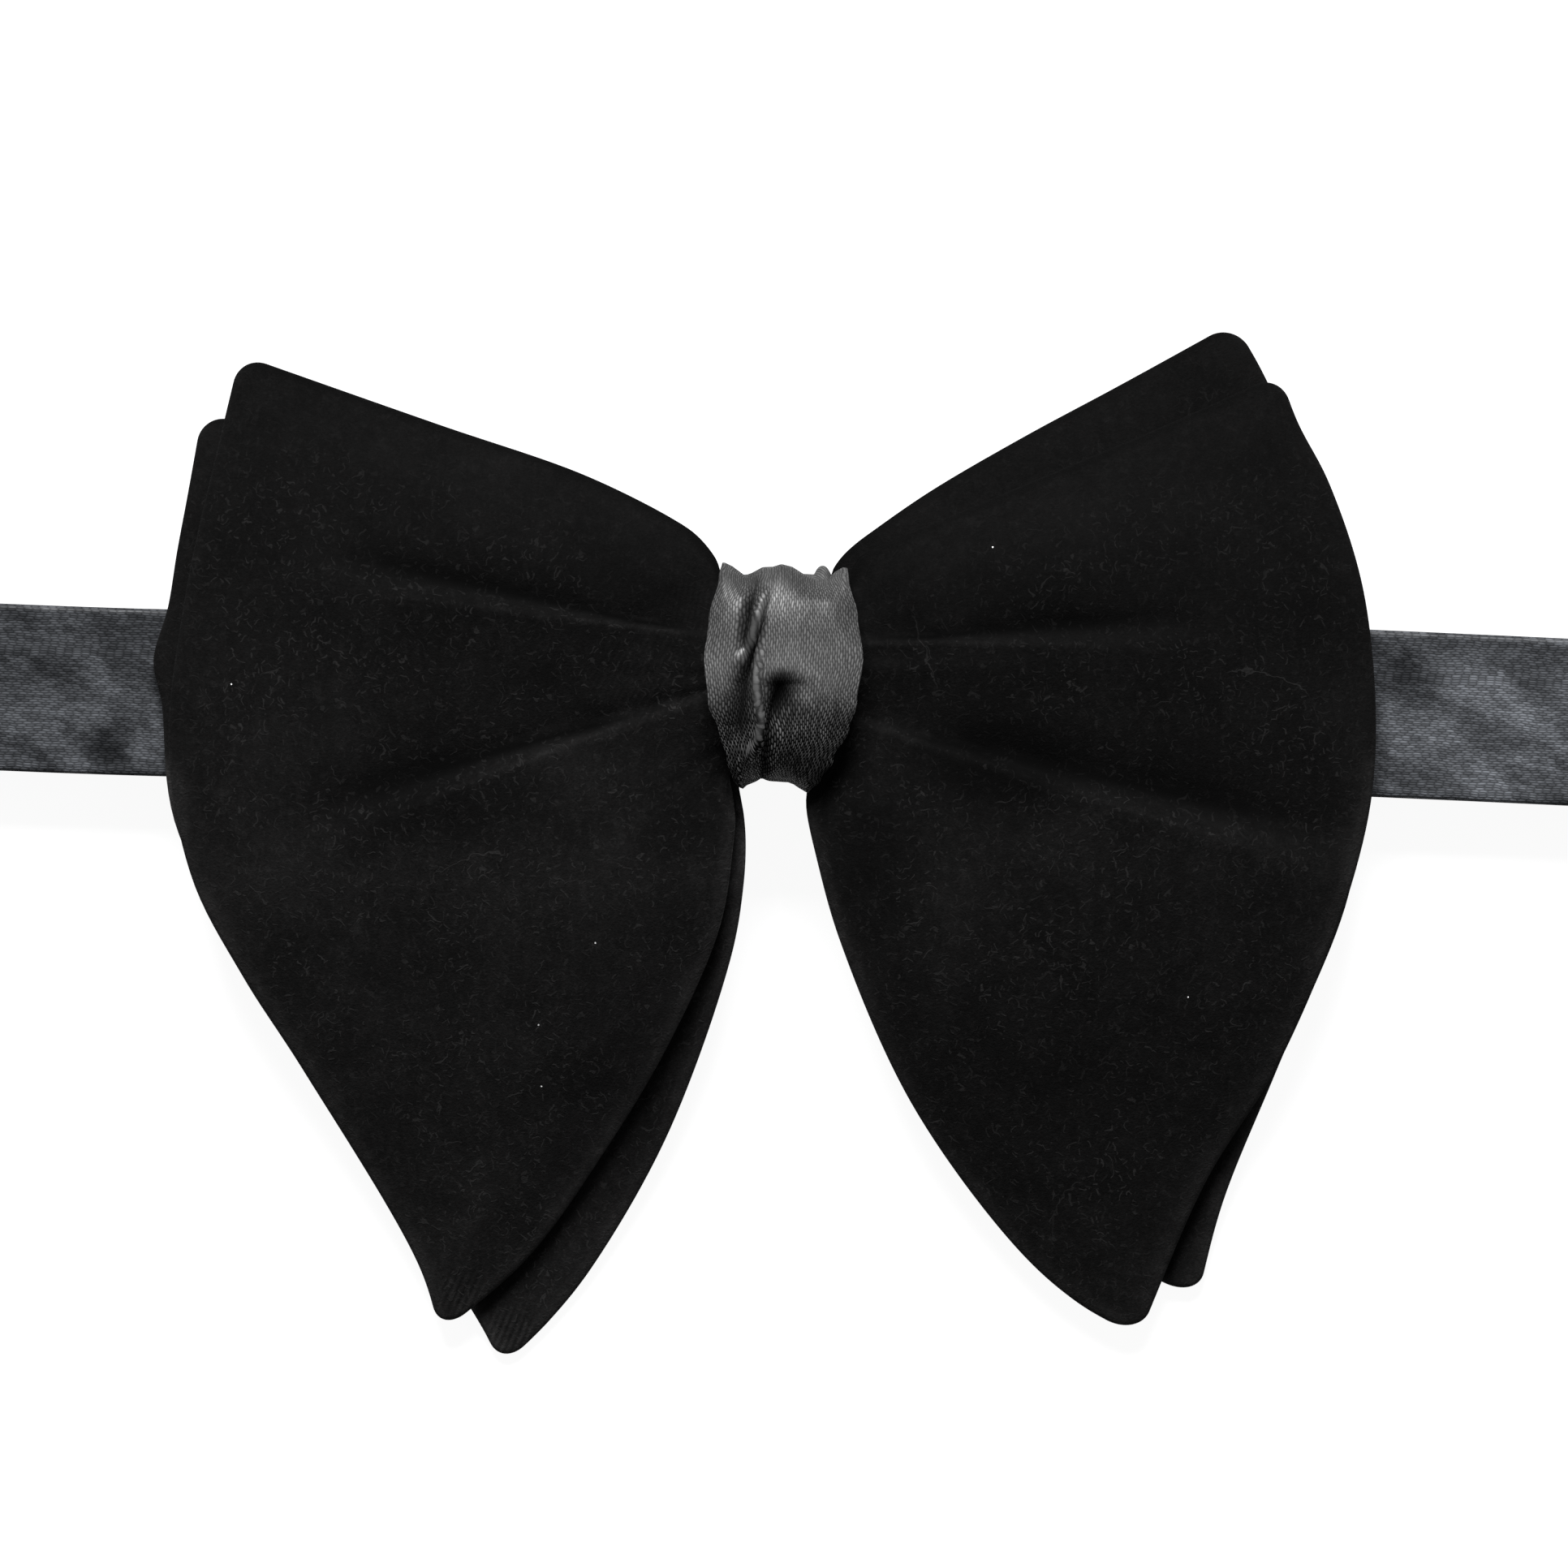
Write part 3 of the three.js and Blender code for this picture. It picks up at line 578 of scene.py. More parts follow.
class Wing:
    """A wing as a patch between its edges: u runs out from the waist, v from the upper edge down."""

    def __init__(self, edges):
        self.upper = Line([(0, WAIST_TOP), *edges["upper"]])
        self.inner = Line([(0, WAIST_BOTTOM), *edges["inner"]])
        self.outer = Line(edges["outer"])
        self.corner = self.upper.at(1)
        self.tip = self.inner.at(1)
        self.round_u = CORNER_RADIUS / self.upper.length
        self.round_v = CORNER_RADIUS / self.outer.length

    def rounded(self, u, v):
        """Rounds the patch's two outer corners, as the sewn corners of a bow are."""
        from_end = min(v, 1 - v)
        a = (u - (1 - self.round_u)) / self.round_u
        b = (self.round_v - from_end) / self.round_v
        if a <= 0 or b <= 0:
            return u, v
        round_u = 1 - self.round_u + self.round_u * a * math.sqrt(1 - b * b / 2)
        round_end = self.round_v - self.round_v * b * math.sqrt(1 - a * a / 2)
        return round_u, round_end if v < 0.5 else 1 - round_end

    def place(self, grid_u, grid_v):
        """Where a point of the patch lies, and how far it is from the sewn edge."""
        u, v = self.rounded(grid_u, grid_v)
        top, low, rim = self.upper.at(u), self.inner.at(u), self.outer.at(v)
        x = mix(top[0], low[0], v) + u * rim[0] - u * mix(self.corner[0], self.tip[0], v)
        waist = mix(WAIST_TOP, WAIST_BOTTOM, v)
        ruled = mix(waist, mix(self.corner[1], self.tip[1], v), u)
        y = mix(top[1], low[1], v) + mix(waist, rim[1], u) - ruled
        breadth = math.dist(top, low)
        upper = min(grid_v * breadth, self.upper.distance(x, y))
        outer = min((1 - grid_u) * self.upper.length, self.outer.distance(x, y))
        inner = min((1 - grid_v) * breadth, self.inner.distance(x, y))
        return x, y, Margins(upper, outer, inner)


def crowd_ends(t):
    """Moves evenly spaced steps closer together at both ends."""
    return t - END_CROWDING * math.sin(2 * math.pi * t) / (2 * math.pi)


def new_piece(name, build, material):
    """Builds a mesh object at the origin with a bmesh function, and gives it its material."""
    mesh = bpy.data.meshes.new(name)
    bm = bmesh.new()
    build(bm)
    bm.normal_update()
    bm.to_mesh(mesh)
    bm.free()
    for polygon in mesh.polygons:
        polygon.use_smooth = True
    piece = bpy.data.objects.new(name, mesh)
    bpy.context.scene.collection.objects.link(piece)
    piece.data.materials.append(material)
    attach(piece, BODY)
    return piece


def close_cloth(bm, half_at, tilt=1.0):
    """Thickens an open sheet by half_at to each side of it, leaning with the cloth by the share tilt."""
    top = list(bm.verts)
    normals = {v: Vector((v.normal.x * tilt, v.normal.y * tilt, v.normal.z)).normalized() for v in top}
    uv_layer = bm.loops.layers.uv.active
    uv_of = {loop.vert: loop[uv_layer].uv.copy() for f in bm.faces for loop in f.loops} if uv_layer else {}
    rims = [tuple(e.verts) for e in bm.edges if e.is_boundary]
    made = bmesh.ops.duplicate(bm, geom=bm.verts[:] + bm.edges[:] + bm.faces[:])
    under_of = {v: made["vert_map"][v] for v in top}
    bmesh.ops.reverse_faces(bm, faces=[g for g in made["geom"] if isinstance(g, bmesh.types.BMFace)])
    for v in top:
        lift = normals[v] * half_at(v)
        under_of[v].co = v.co - lift
        v.co = v.co + lift
    for a, b in rims:
        rim = bm.faces.new((a, b, under_of[b], under_of[a]))
        if uv_layer:
            for loop, uv in zip(rim.loops, (uv_of[a], uv_of[b], uv_of[b], uv_of[a])):
                loop[uv_layer].uv = uv
    bmesh.ops.recalc_face_normals(bm, faces=bm.faces[:])


def build_bow(bm, is_front):
    """One bow, both wings and the gathered waist, as a padded two-ply panel with a rounded sewn edge."""
    left = Wing(FRONT_LEFT if is_front else BACK_LEFT)
    right = Wing(FRONT_RIGHT if is_front else BACK_RIGHT)
    bmesh.ops.create_grid(bm, x_segments=2 * WING_COLUMNS, y_segments=WING_ROWS, size=1, calc_uvs=False)
    painted_shade_layer, lint = (bm.verts.layers.float.new(layer) for layer in ("Painted shade", "Lint"))
    to_edge = {}
    for v in bm.verts:
        reach = v.co.x
        u = mix(abs(reach), math.sin(abs(reach) * QUARTER_TURN), OUTER_CROWDING)
        down = crowd_ends((1 - v.co.y) / 2)
        x, y, margins = (left if reach < 0 else right).place(clamp(u), clamp(down))
        to_edge[v] = min(margins)
        # Painted light and shade on the velvet, kept with each point
        v[painted_shade_layer] = painted_shade_tone(is_front, x, y, margins)
        v[lint] = lint_share(y, margins, v[painted_shade_layer])
        v.co = Vector((x, y, cloth_height(is_front, x, y, to_edge[v]))) * MM
    bm.normal_update()

    def half_at(v):
        inset = 1 - clamp(to_edge[v] / PANEL_HALF)
        half = mix(RIM_HALF, PANEL_HALF, smooth(0, RIM_TAPER, to_edge[v]))
        return max(PANEL_RIM, half * math.sqrt(1 - inset * inset)) * MM

    close_cloth(bm, half_at, tilt=0)


def knot_width(y, column):
    """A named column of the knot's width table at height y."""
    rows = KNOT_WIDTHS
    if y <= rows[0].y:
        return getattr(rows[0], column)
    for low, high in zip(rows, rows[1:]):
        if y < high.y:
            return mix(getattr(low, column), getattr(high, column), smooth(low.y, high.y, y))
    return getattr(rows[-1], column)


def crease_height(x, y):
    """How far the creases and ridges of the knot's front stand in or out at a point."""
    height = 0.0
    for bends in KNOT_CREASES.values():
        if not bends[0].y - 1 < y < bends[-1].y:
            continue
        ys = [bend.y for bend in bends]
        here = Bend(*(float(np.interp(y, ys, column)) for column in zip(*bends)))
        off = x - here.x
        bank = here.left if off < 0 else here.right
        height += here.height * math.exp(-((off / bank) ** 2))
    return height


def crease_painted_light(x, y):
    """The painted light and shade on the knot's satin at a point: painted shade in its creases, at its foot,
    top and patches, painted glint on its ridges and across its middle; and how near it is to a ridge.
    """
    tone, ridge = 1.0, 0.0
    for bends in KNOT_CREASES.values():
        ys = [bend.y for bend in bends]
        here = Bend(*(float(np.interp(y, ys, column)) for column in zip(*bends)))
        off = x - here.x
        reach = (here.left if off < 0 else here.right) * (1.25 if here.height < 0 else 0.8)
        near = math.exp(-((off / reach) ** 2)) * smooth(bends[0].y - 1, bends[0].y + 1, y)
        near *= 1 - smooth(bends[-1].y - 1, bends[-1].y + 1, y)
        if here.height < 0:
            tone *= 1 - CREASE_DARKNESS * near * clamp(-here.height / FULL_CREASE)
        else:
            tone *= 1 + RIDGE_GLINT * near**3 * clamp(here.height / FULL_GLINT)
            ridge = max(ridge, near**5 * clamp(here.height / FULL_TAUT))
    # Painted highlight across the middle, painted shade in patches, at the foot and at the very top
    tone *= 1 + MIDDLE_PAINTED_HIGHLIGHT * math.exp(-(((y - KNOT_Y) / MIDDLE_PAINTED_HIGHLIGHT_HALF) ** 2))
    for shade in KNOT_SHADES:
        tone *= 1 + patch_tone(shade, x, y)
    tone *= mix(FOOT_PAINTED_SHADE, 1, smooth(*FOOT_LIGHTENS, y)) * mix(1, TOP_PAINTED_SHADE, smooth(*TOP_DARKENS, y))
    return tone, ridge


def table_at(pairs, x):
    """The value of a table of (place, value) pairs at a place."""
    places, values = zip(*pairs)
    return float(np.interp(x, places, values))


def knot_point(turn, across):
    """A point on the middle of the knot's strip: turn goes once round it from its back, over the top."""
    angle = 2 * math.pi * turn
    out, up = -math.cos(angle), math.sin(angle)
    front_power = mix(KNOT_FOOT_POWER, KNOT_TOP_POWER, smooth(-0.2, 0.2, up))
    power = mix(KNOT_BACK_POWER, front_power, smooth(-0.1, 0.3, out))
    scale = (abs(out) ** power + abs(up) ** power) ** (-1 / power)
    unit_y, unit_z = up * scale, out * scale
    y = KNOT_Y + unit_y * KNOT_HALF_HEIGHT
    front = smooth(-0.35, 0.2, unit_z)
    full = knot_width(y, "half")
    back_half = mix(KNOT_BACK_HALF, BACK_HALF_AT_TOP, smooth(26, 32, y)) if across > 0 else KNOT_BACK_HALF
    half = mix(min(back_half, full), full, front)
    x = knot_width(y, "middle") + half * across
    skin = KNOT_CROWN * (1 - across**2) * front - KNOT_LIP * across**4
    skin += front * CREASE_DEPTH * crease_height(x, y)
    skin += KNOT_UNEVEN * noise.noise((x * 0.35, turn * 14, 5.0))
    skin *= mix(KNOT_END_SHARE, 1, smooth(0, 0.6, abs(unit_z)))
    skin += table_at(TOP_EDGE, x) * smooth(0.6, 0.98, unit_y) * smooth(-0.3, 0.1, unit_z)
    skin += table_at(FOOT_EDGE, x) * smooth(0.6, 0.98, -unit_y) * smooth(-0.6, -0.1, unit_z)
    back_fold = BACK_FOLD_LIFT * math.exp(-(((x - BACK_FOLD_X) / BACK_FOLD_HALF) ** 2))
    behind = smooth(0.6, 0.98, unit_y) * (1 - smooth(-0.3, 0.1, unit_z)) * smooth(-0.9, -0.5, unit_z)
    skin += (back_fold - BACK_SUNK) * behind
    skin -= KNOT_CLOTH / 2
    y = KNOT_Y + unit_y * (KNOT_HALF_HEIGHT + skin)
    z = KNOT_Z + unit_z * (KNOT_HALF_DEPTH + skin)
    return Vector((x, y, z)) * MM


def build_knot(bm):
    """The satin strip wrapped once round the waist, its two ends meeting behind."""
    bm.loops.layers.uv.new("Threads")
    bmesh.ops.create_grid(bm, x_segments=KNOT_COLUMNS, y_segments=KNOT_TURNS, size=1, calc_uvs=True)
    crease, taut = bm.verts.layers.float.new("Crease painted light"), bm.verts.layers.float.new("Taut")
    for v in bm.verts:
        turn = (1 - v.co.y) / 2
        v.co = knot_point(turn, v.co.x)
        on_front = smooth(KNOT_Z, KNOT_Z + 2, v.co.z / MM)
        # Painted light and shade of the creases and ridges, kept with each point on the knot's front
        tone, ridge = crease_painted_light(v.co.x / MM, v.co.y / MM)
        v[crease] = mix(1, tone, on_front)
        front_taut = FRONT_TAUT * smooth(*FRONT_TAUT_OVER, v.co.y / MM)
        top_taut = TOP_TAUT * smooth(*TOP_TAUT_OVER, v.co.y / MM)
        v[taut] = max(ridge * on_front, front_taut, top_taut)
    bmesh.ops.remove_doubles(bm, verts=bm.verts[:], dist=0.02 * MM)
    bm.normal_update()
    close_cloth(bm, lambda v: KNOT_CLOTH / 2 * MM)


def band_path():
    """Centre line of the band in x and height, from the slide round both ends and back to the slide."""
    radius = (BAND_LOOP_HEIGHT - BAND_CLOTH) / 2
    end_x = BAND_HALF_LOOP - radius - BAND_CLOTH / 2
    on_table = BAND_CLOTH / 2
    top = on_table + 2 * radius
    in_slide = SLIDE_WALL + SLIDE_SLOT / 2
    right = [
        (SLIDE_X + SLIDE_MARGIN, in_slide),
        (SLIDE_X + SLIDE_LENGTH / 2, in_slide),
        (SLIDE_X + SLIDE_LENGTH / 2 + BAND_HALF_DOWN, mix(on_table, in_slide, 0.5)),
        (SLIDE_X + SLIDE_LENGTH / 2 + BAND_ALL_DOWN, on_table),
        (end_x, on_table),
    ]
    turns = [math.pi * i / 24 for i in range(1, 24)]
    right += [(end_x + radius * math.sin(a), on_table + radius * (1 - math.cos(a))) for a in turns]
    over = [mix(end_x, -end_x, i / 120) for i in range(121)]
    risen = [smooth(KNOT_BACK_HALF + 3, BAND_RISES_BY, abs(x)) for x in over]
    front = [(x, mix(BAND_HEIGHT_IN_KNOT, top, share)) for x, share in zip(over, risen)]
    left = [(-end_x - radius * math.sin(a), top - radius * (1 - math.cos(a))) for a in turns]
    left += [
        (-end_x, on_table),
        (SLIDE_X - SLIDE_LENGTH / 2 - BAND_ALL_DOWN, on_table),
        (SLIDE_X - SLIDE_LENGTH / 2 - BAND_HALF_DOWN, mix(on_table, in_slide, 0.5)),
        (SLIDE_X - SLIDE_LENGTH / 2, in_slide),
        (SLIDE_X - SLIDE_MARGIN, in_slide),
    ]
    return right + front + left


def build_band(bm):
    """The satin band, a folded ribbon with rolled edges, lying flattened as a loop."""
    path = np.array(band_path())
    walked = np.concatenate([[0.0], np.cumsum(np.hypot(*np.diff(path, axis=0).T))])
    bm.loops.layers.uv.new("Threads")
    bmesh.ops.create_grid(bm, x_segments=BAND_STEPS, y_segments=BAND_COLUMNS, size=1, calc_uvs=True)
    to_edge = {}
    for v in bm.verts:
        along = (v.co.x + 1) / 2 * walked[-1]
        across = v.co.y
        x = float(np.interp(along, walked, path[:, 0]))
        z = float(np.interp(along, walked, path[:, 1]))
        is_top = z > BAND_LOOP_HEIGHT / 2
        narrow = 1 - smooth(KNOT_BACK_HALF, KNOT_BACK_HALF + BAND_NARROWS_OVER, abs(x)) if is_top else 0
        half = mix(BAND_WIDTH, BAND_WIDTH_IN_KNOT, narrow) / 2
        to_edge[v] = half * (1 - abs(across))
        v.co = Vector((x, band_line.y_at_x(x) - half * across, z)) * MM
    bm.normal_update()

    def half_at(v):
        inset = 1 - clamp(to_edge[v] / BAND_EDGE)
        return BAND_CLOTH / 2 * math.sqrt(1 - 0.8 * inset * inset) * MM

    close_cloth(bm, half_at)


def build_slide(bm):
    """The band's slide: a flat sleeve of bent metal with rounded sides."""
    height = 2 * SLIDE_WALL + SLIDE_SLOT
    middle_y = band_line.y_at_x(SLIDE_X)

    def section(half_width, low, high, radius):
        """A ring of points round a rectangle with rounded corners, at the sleeve's left end."""
        points = []
        for corner_y, corner_z, start in (
            (half_width - radius, high - radius, 0),
            (-half_width + radius, high - radius, 90),
            (-half_width + radius, low + radius, 180),
            (half_width - radius, low + radius, 270),
        ):
            for step in range(7):
                angle = math.radians(start + step * 15)
                points.append((corner_y + radius * math.cos(angle), corner_z + radius * math.sin(angle)))
        return points

    outer = section(SLIDE_WIDTH / 2, 0, height, SLIDE_OUTER_ROUND)
    inner_half = SLIDE_WIDTH / 2 - SLIDE_SIDE
    inner = section(inner_half, SLIDE_WALL, SLIDE_WALL + SLIDE_SLOT, SLIDE_INNER_ROUND)
    left_end = SLIDE_X - SLIDE_LENGTH / 2
    rings = []
    for points in (outer, inner):
        ring = bmesh.ops.create_circle(bm, segments=len(points), radius=1)["verts"]
        for v, (y, z) in zip(ring, points):
            v.co = Vector((left_end, middle_y + y, z)) * MM
        rings.append(ring)
    end_face = bmesh.ops.bridge_loops(bm, edges=bm.edges[:])["faces"]
    grown = bmesh.ops.extrude_face_region(bm, geom=end_face, use_keep_orig=True)["geom"]
    far = [g for g in grown if isinstance(g, bmesh.types.BMVert)]
    bmesh.ops.translate(bm, verts=far, vec=(SLIDE_LENGTH * MM, 0, 0))
    bmesh.ops.recalc_face_normals(bm, faces=bm.faces[:])
    rims = [e for e in bm.edges if e.is_manifold and e.calc_face_angle(0) > math.radians(60)]
    bmesh.ops.bevel(
        bm, geom=rims, offset=SLIDE_EDGE * MM, segments=2, profile=0.5, affect="EDGES", material=-1
    )


class Value:
    """A shader node's output to reckon with: each sign and each method adds the node that works it out."""

    def __init__(self, socket):
        self.socket = socket
        self.tree = socket.id_data

    def math(self, operation, *others, clamped=False):
        values = dict(enumerate((self, *others)))
        return add(self.tree, "ShaderNodeMath", values, operation=operation, use_clamp=clamped)[0]

    def __add__(self, other):
        return self.math("ADD", other)

    def __sub__(self, other):
        return self.math("SUBTRACT", other)

    def __rsub__(self, other):
        return add(self.tree, "ShaderNodeMath", {0: other, 1: self}, operation="SUBTRACT")[0]

    def __mul__(self, other):
        return self.math("MULTIPLY", other)

    def __truediv__(self, other):
        return self.math("DIVIDE", other)

    def ramp(self, low, high, to_low=0.0, to_high=1.0):
        """Carries the range low..high smoothly onto to_low..to_high."""
        values = {"Value": self, "From Min": low, "From Max": high, "To Min": to_low, "To Max": to_high}
        return add(self.tree, "ShaderNodeMapRange", values, interpolation_type="SMOOTHSTEP")[0]

    def bell(self):
        """One at nought, falling off to both sides of it."""
        return (self * self * -1).math("EXPONENT")

    def moved(self, operation, other):
        """A place or colour joined with another by a vector operation."""
        return add(self.tree, "ShaderNodeVectorMath", {0: self, 1: other}, operation=operation)[0]

    def scaled(self, factor):
        """A place or colour times a number."""
        return add(self.tree, "ShaderNodeVectorMath", {0: self, "Scale": factor}, operation="SCALE")[0]

    def turned(self, angle):
        """A place turned about the upright axis."""
        values = {"Vector": self, "Angle": angle}
        return add(self.tree, "ShaderNodeVectorRotate", values, rotation_type="Z_AXIS")[0]

    def from_point(self, x, y):
        """How far a place in the table's plane is from a point of it."""
        return add(self.tree, "ShaderNodeVectorMath", {0: self, 1: (x, y, 0)}, operation="DISTANCE")["Value"]

    def parts(self, kind="ShaderNodeSeparateXYZ"):
        """The three parts of a place or of a colour."""
        found = add(self.tree, kind, {0: self})
        return found[0], found[1], found[2]

    def noise(self, scale, detail=2.0, roughness=0.5):
        """A cloudy pattern's outputs, its value first."""
        values = {"Vector": self, "Scale": scale, "Detail": detail, "Roughness": roughness}
        return add(self.tree, "ShaderNodeTexNoise", values)

    def cells(self, scale):
        """A flat pattern of scattered cells: the outputs, and each cell's three random numbers."""
        values = {"Vector": self, "Scale": scale}
        found = add(self.tree, "ShaderNodeTexVoronoi", values, voronoi_dimensions="2D")
        return found, found["Color"].parts("ShaderNodeSeparateColor")


class Outputs:
    """A shader node's outputs by place or name."""

    def __init__(self, node):
        self.node = node

    def __getitem__(self, key):
        return Value(self.node.outputs[key])


def fill_inputs(tree, node, values):
    """Sets a node's inputs to plain values, or links them to other nodes' outputs."""
    for key, value in values.items():
        if isinstance(value, Value):
            tree.links.new(value.socket, node.inputs[key])
        else:
            node.inputs[key].default_value = value


def add(tree, kind, values=None, **settings):
    """Adds a shader node: settings are its own options, values go to its inputs, links included."""
    made = tree.nodes.new(kind)
    for key, value in settings.items():
        setattr(made, key, value)
    fill_inputs(tree, made, values or {})
    return Outputs(made)


def painted(tree, name):
    """A piece's own painted mask, kept with its points."""
    return add(tree, "ShaderNodeAttribute", attribute_name=name)["Fac"]


def blend_colours(tree, factor, start, end):
    """A colour that goes from start to end; each is a colour or another node's output."""
    start, end = (colour if isinstance(colour, Value) else (*colour, 1) for colour in (start, end))
    return add(tree, "ShaderNodeMix", {0: factor, 6: start, 7: end}, data_type="RGBA")[2]


def new_group(name, inputs, outputs, has_place=False):
    """An empty node group with named sockets, the first of them a place where asked."""
    group = bpy.data.node_groups.new(name, "ShaderNodeTree")
    if has_place:
        group.interface.new_socket("Position", in_out="INPUT", socket_type="NodeSocketVector")
    for names, side in ((inputs, "INPUT"), (outputs, "OUTPUT")):
        for socket in names:
            group.interface.new_socket(socket, in_out=side, socket_type="NodeSocketFloat")
    return group, Outputs(group.nodes.new("NodeGroupInput")), group.nodes.new("NodeGroupOutput")


def stroke_mask(place, strokes):
    """A mask of bent strokes, one in some cells of a scattered pattern, each turned its own way."""
    moved = place.moved("ADD", (strokes.shift, -strokes.shift, 0))
    cell, (direction, curve, chance) = moved.cells(1 / strokes.spacing)
    along, beside, _ = moved.moved("SUBTRACT", cell["Position"]).turned(direction * (2 * math.pi)).parts()
    bend = (curve - 0.5) / strokes.half_length
    off = (beside - along * along * bend).math("ABSOLUTE")
    line = off.ramp(strokes.half_width * 0.3, strokes.half_width, 1, 0)
    ends = along.math("ABSOLUTE").ramp(strokes.half_length * 0.7, strokes.half_length, 1, 0)
    chosen = chance.ramp(1 - strokes.share, 1, 0.15, 1) * chance.math("GREATER_THAN", 1 - strokes.share)
    return line * ends * chosen


def lint_group():
    """Curled fibres and specks of dust caught in a pile, from a position in millimetres."""
    group, start, end = new_group("Lint", [], ["Fibres", "Specks"], has_place=True)
    place = start["Position"]
    curl = place.noise(0.7, detail=1.0)["Color"].moved("SUBTRACT", (0.5, 0.5, 0.5))
    curled = place.moved("ADD", curl.moved("MULTIPLY", (LINT_CURL, LINT_CURL, 0)))
    fibres, *others = (stroke_mask(curled, strokes) for strokes in LINT)
    for other in others:
        fibres = fibres.math("MAXIMUM", other)
    fibres = fibres * place.noise(0.11)[0].ramp(0.38, 0.6, 0.45, 1)
    dust, chances = place.cells(0.85)
    specks = dust["Distance"].ramp(0.05, 0.13, 1, 0) * chances[0].ramp(0.6, 1)
    fill_inputs(group, end, {"Fibres": fibres, "Specks": specks})
    return group


def fold_painted_shade_group():
    """The painted light and shade of a fold in velvet: a painted highlight along its crest, and painted shade
    in a valley that opens beyond it.
    """
    names = ("Side", "Waist", "Slope", "Bend", "Starts", "Fade from", "Fade to")
    group, start, end = new_group("Fold painted shade", names, ["Shade"], has_place=True)
    x, y, _ = start["Position"].parts()
    out = x * start["Side"]
    above = y - (start["Waist"] + (start["Slope"] + start["Bend"] * out) * out)
    valley = (out - VALLEY_OPENS_AT).math("MAXIMUM", 0) * VALLEY_OPENING + VALLEY_OFFSET
    past = above - valley
    core = (past / (valley * VALLEY_CORE_SHARE + VALLEY_CORE_LEAST)).bell()
    dusk = (past.math("MAXIMUM", 0) / -VALLEY_DUSK_REACH).math("EXPONENT")
    dusk = dusk * above.math("DIVIDE", valley, clamped=True)
    line = ((above + CREST_LINE_OFFSET) / CREST_LINE_WIDTH).bell()
    glow = (above * -1 / -CREST_GLOW_REACH).math("EXPONENT") * above.math("LESS_THAN", 0)
    # Painted highlight along the crest and painted shade in the valley
    shade = line * CREST_LINE + glow * CREST_GLOW - core * VALLEY_CORE - dusk * VALLEY_DUSK
    begins = (out - start["Starts"]).math("DIVIDE", SHADE_RISES_OVER, clamped=True)
    strength = begins * (1 - out.ramp(start["Fade from"], start["Fade to"]))
    fill_inputs(group, end, {"Shade": shade * strength + 1})
    return group


def satin_group():
    """Staggered thread floats of a satin weave, from places in threads across and in floats along."""
    names = ("Across", "Along", "Unevenness", "Taut")
    group, start, end = new_group("Satin weave", names, ["Height", "Float tone"])
    thread = start["Across"].math("FLOOR")
    slip = add(group, "ShaderNodeTexWhiteNoise", {"W": thread}, noise_dimensions="1D")["Value"]
    row = start["Along"] + thread * FLOAT_STEP + slip * start["Unevenness"]
    crown = (start["Across"].math("FRACT") * math.pi).math("SINE")
    ends = 1 - (row.math("FRACT") * 2 - 1).math("ABSOLUTE").math("POWER", 3)
    height = crown * ends.math("MAXIMUM", start["Taut"])
    cell = add(group, "ShaderNodeCombineXYZ", {0: thread, 1: row.math("FLOOR")})[0]
    tone = add(group, "ShaderNodeTexWhiteNoise", {"Vector": cell}, noise_dimensions="2D")["Value"]
    fill_inputs(group, end, {"Height": height, "Float tone": tone})
    return group


def new_material(name):
    """A material with a Principled shader, ready for its patterns."""
    material = bpy.data.materials.new(name)
    material.use_nodes = True
    return material, material.node_tree, material.node_tree.nodes["Principled BSDF"]


def position_in_mm(tree):
    """A place on the piece, and the same place brought down onto the table's plane."""
    place = add(tree, "ShaderNodeTexCoord")["Object"].scaled(1 / MM)
    return place, place.moved("MULTIPLY", (1, 1, 0))


def puckered(flat, pucker):
    """How much painted light and shade a pucker's wrinkles put on the pile."""
    depth = flat.from_point(pucker.x, pucker.y).ramp(pucker.radius * 0.3, pucker.radius, pucker.depth, 0)
    beside = flat.turned(pucker.slant).parts()[0]
    return (beside * (2 * math.pi / pucker.pitch)).math("SINE") * depth + 1


def folds_and_puckers(tree, place, flat):
    """The painted light and shade on the pile: the painted tone kept with its points, the painted shade and
    highlight of each fold and the puckers' painted stripes, with a random blotchiness.
    """
    fold_painted_shade = fold_painted_shade_group()
    shade = painted(tree, "Painted shade")
    for fold in FOLDS:
        values = {"Position": place, "Side": fold.side, "Waist": fold.waist_y, "Slope": fold.slope}
        values |= {"Bend": fold.bend, "Starts": fold.starts}
        values |= {"Fade from": fold.fade[0], "Fade to": fold.fade[1]}
        shade = shade * add(tree, "ShaderNodeGroup", values, node_tree=fold_painted_shade)["Shade"]
    for pucker in PUCKERS:
        shade = shade * puckered(flat, pucker)
    return shade * place.noise(0.75, detail=4.0, roughness=0.7)[0].ramp(0.5, 0.68, 0.94, 1.4)


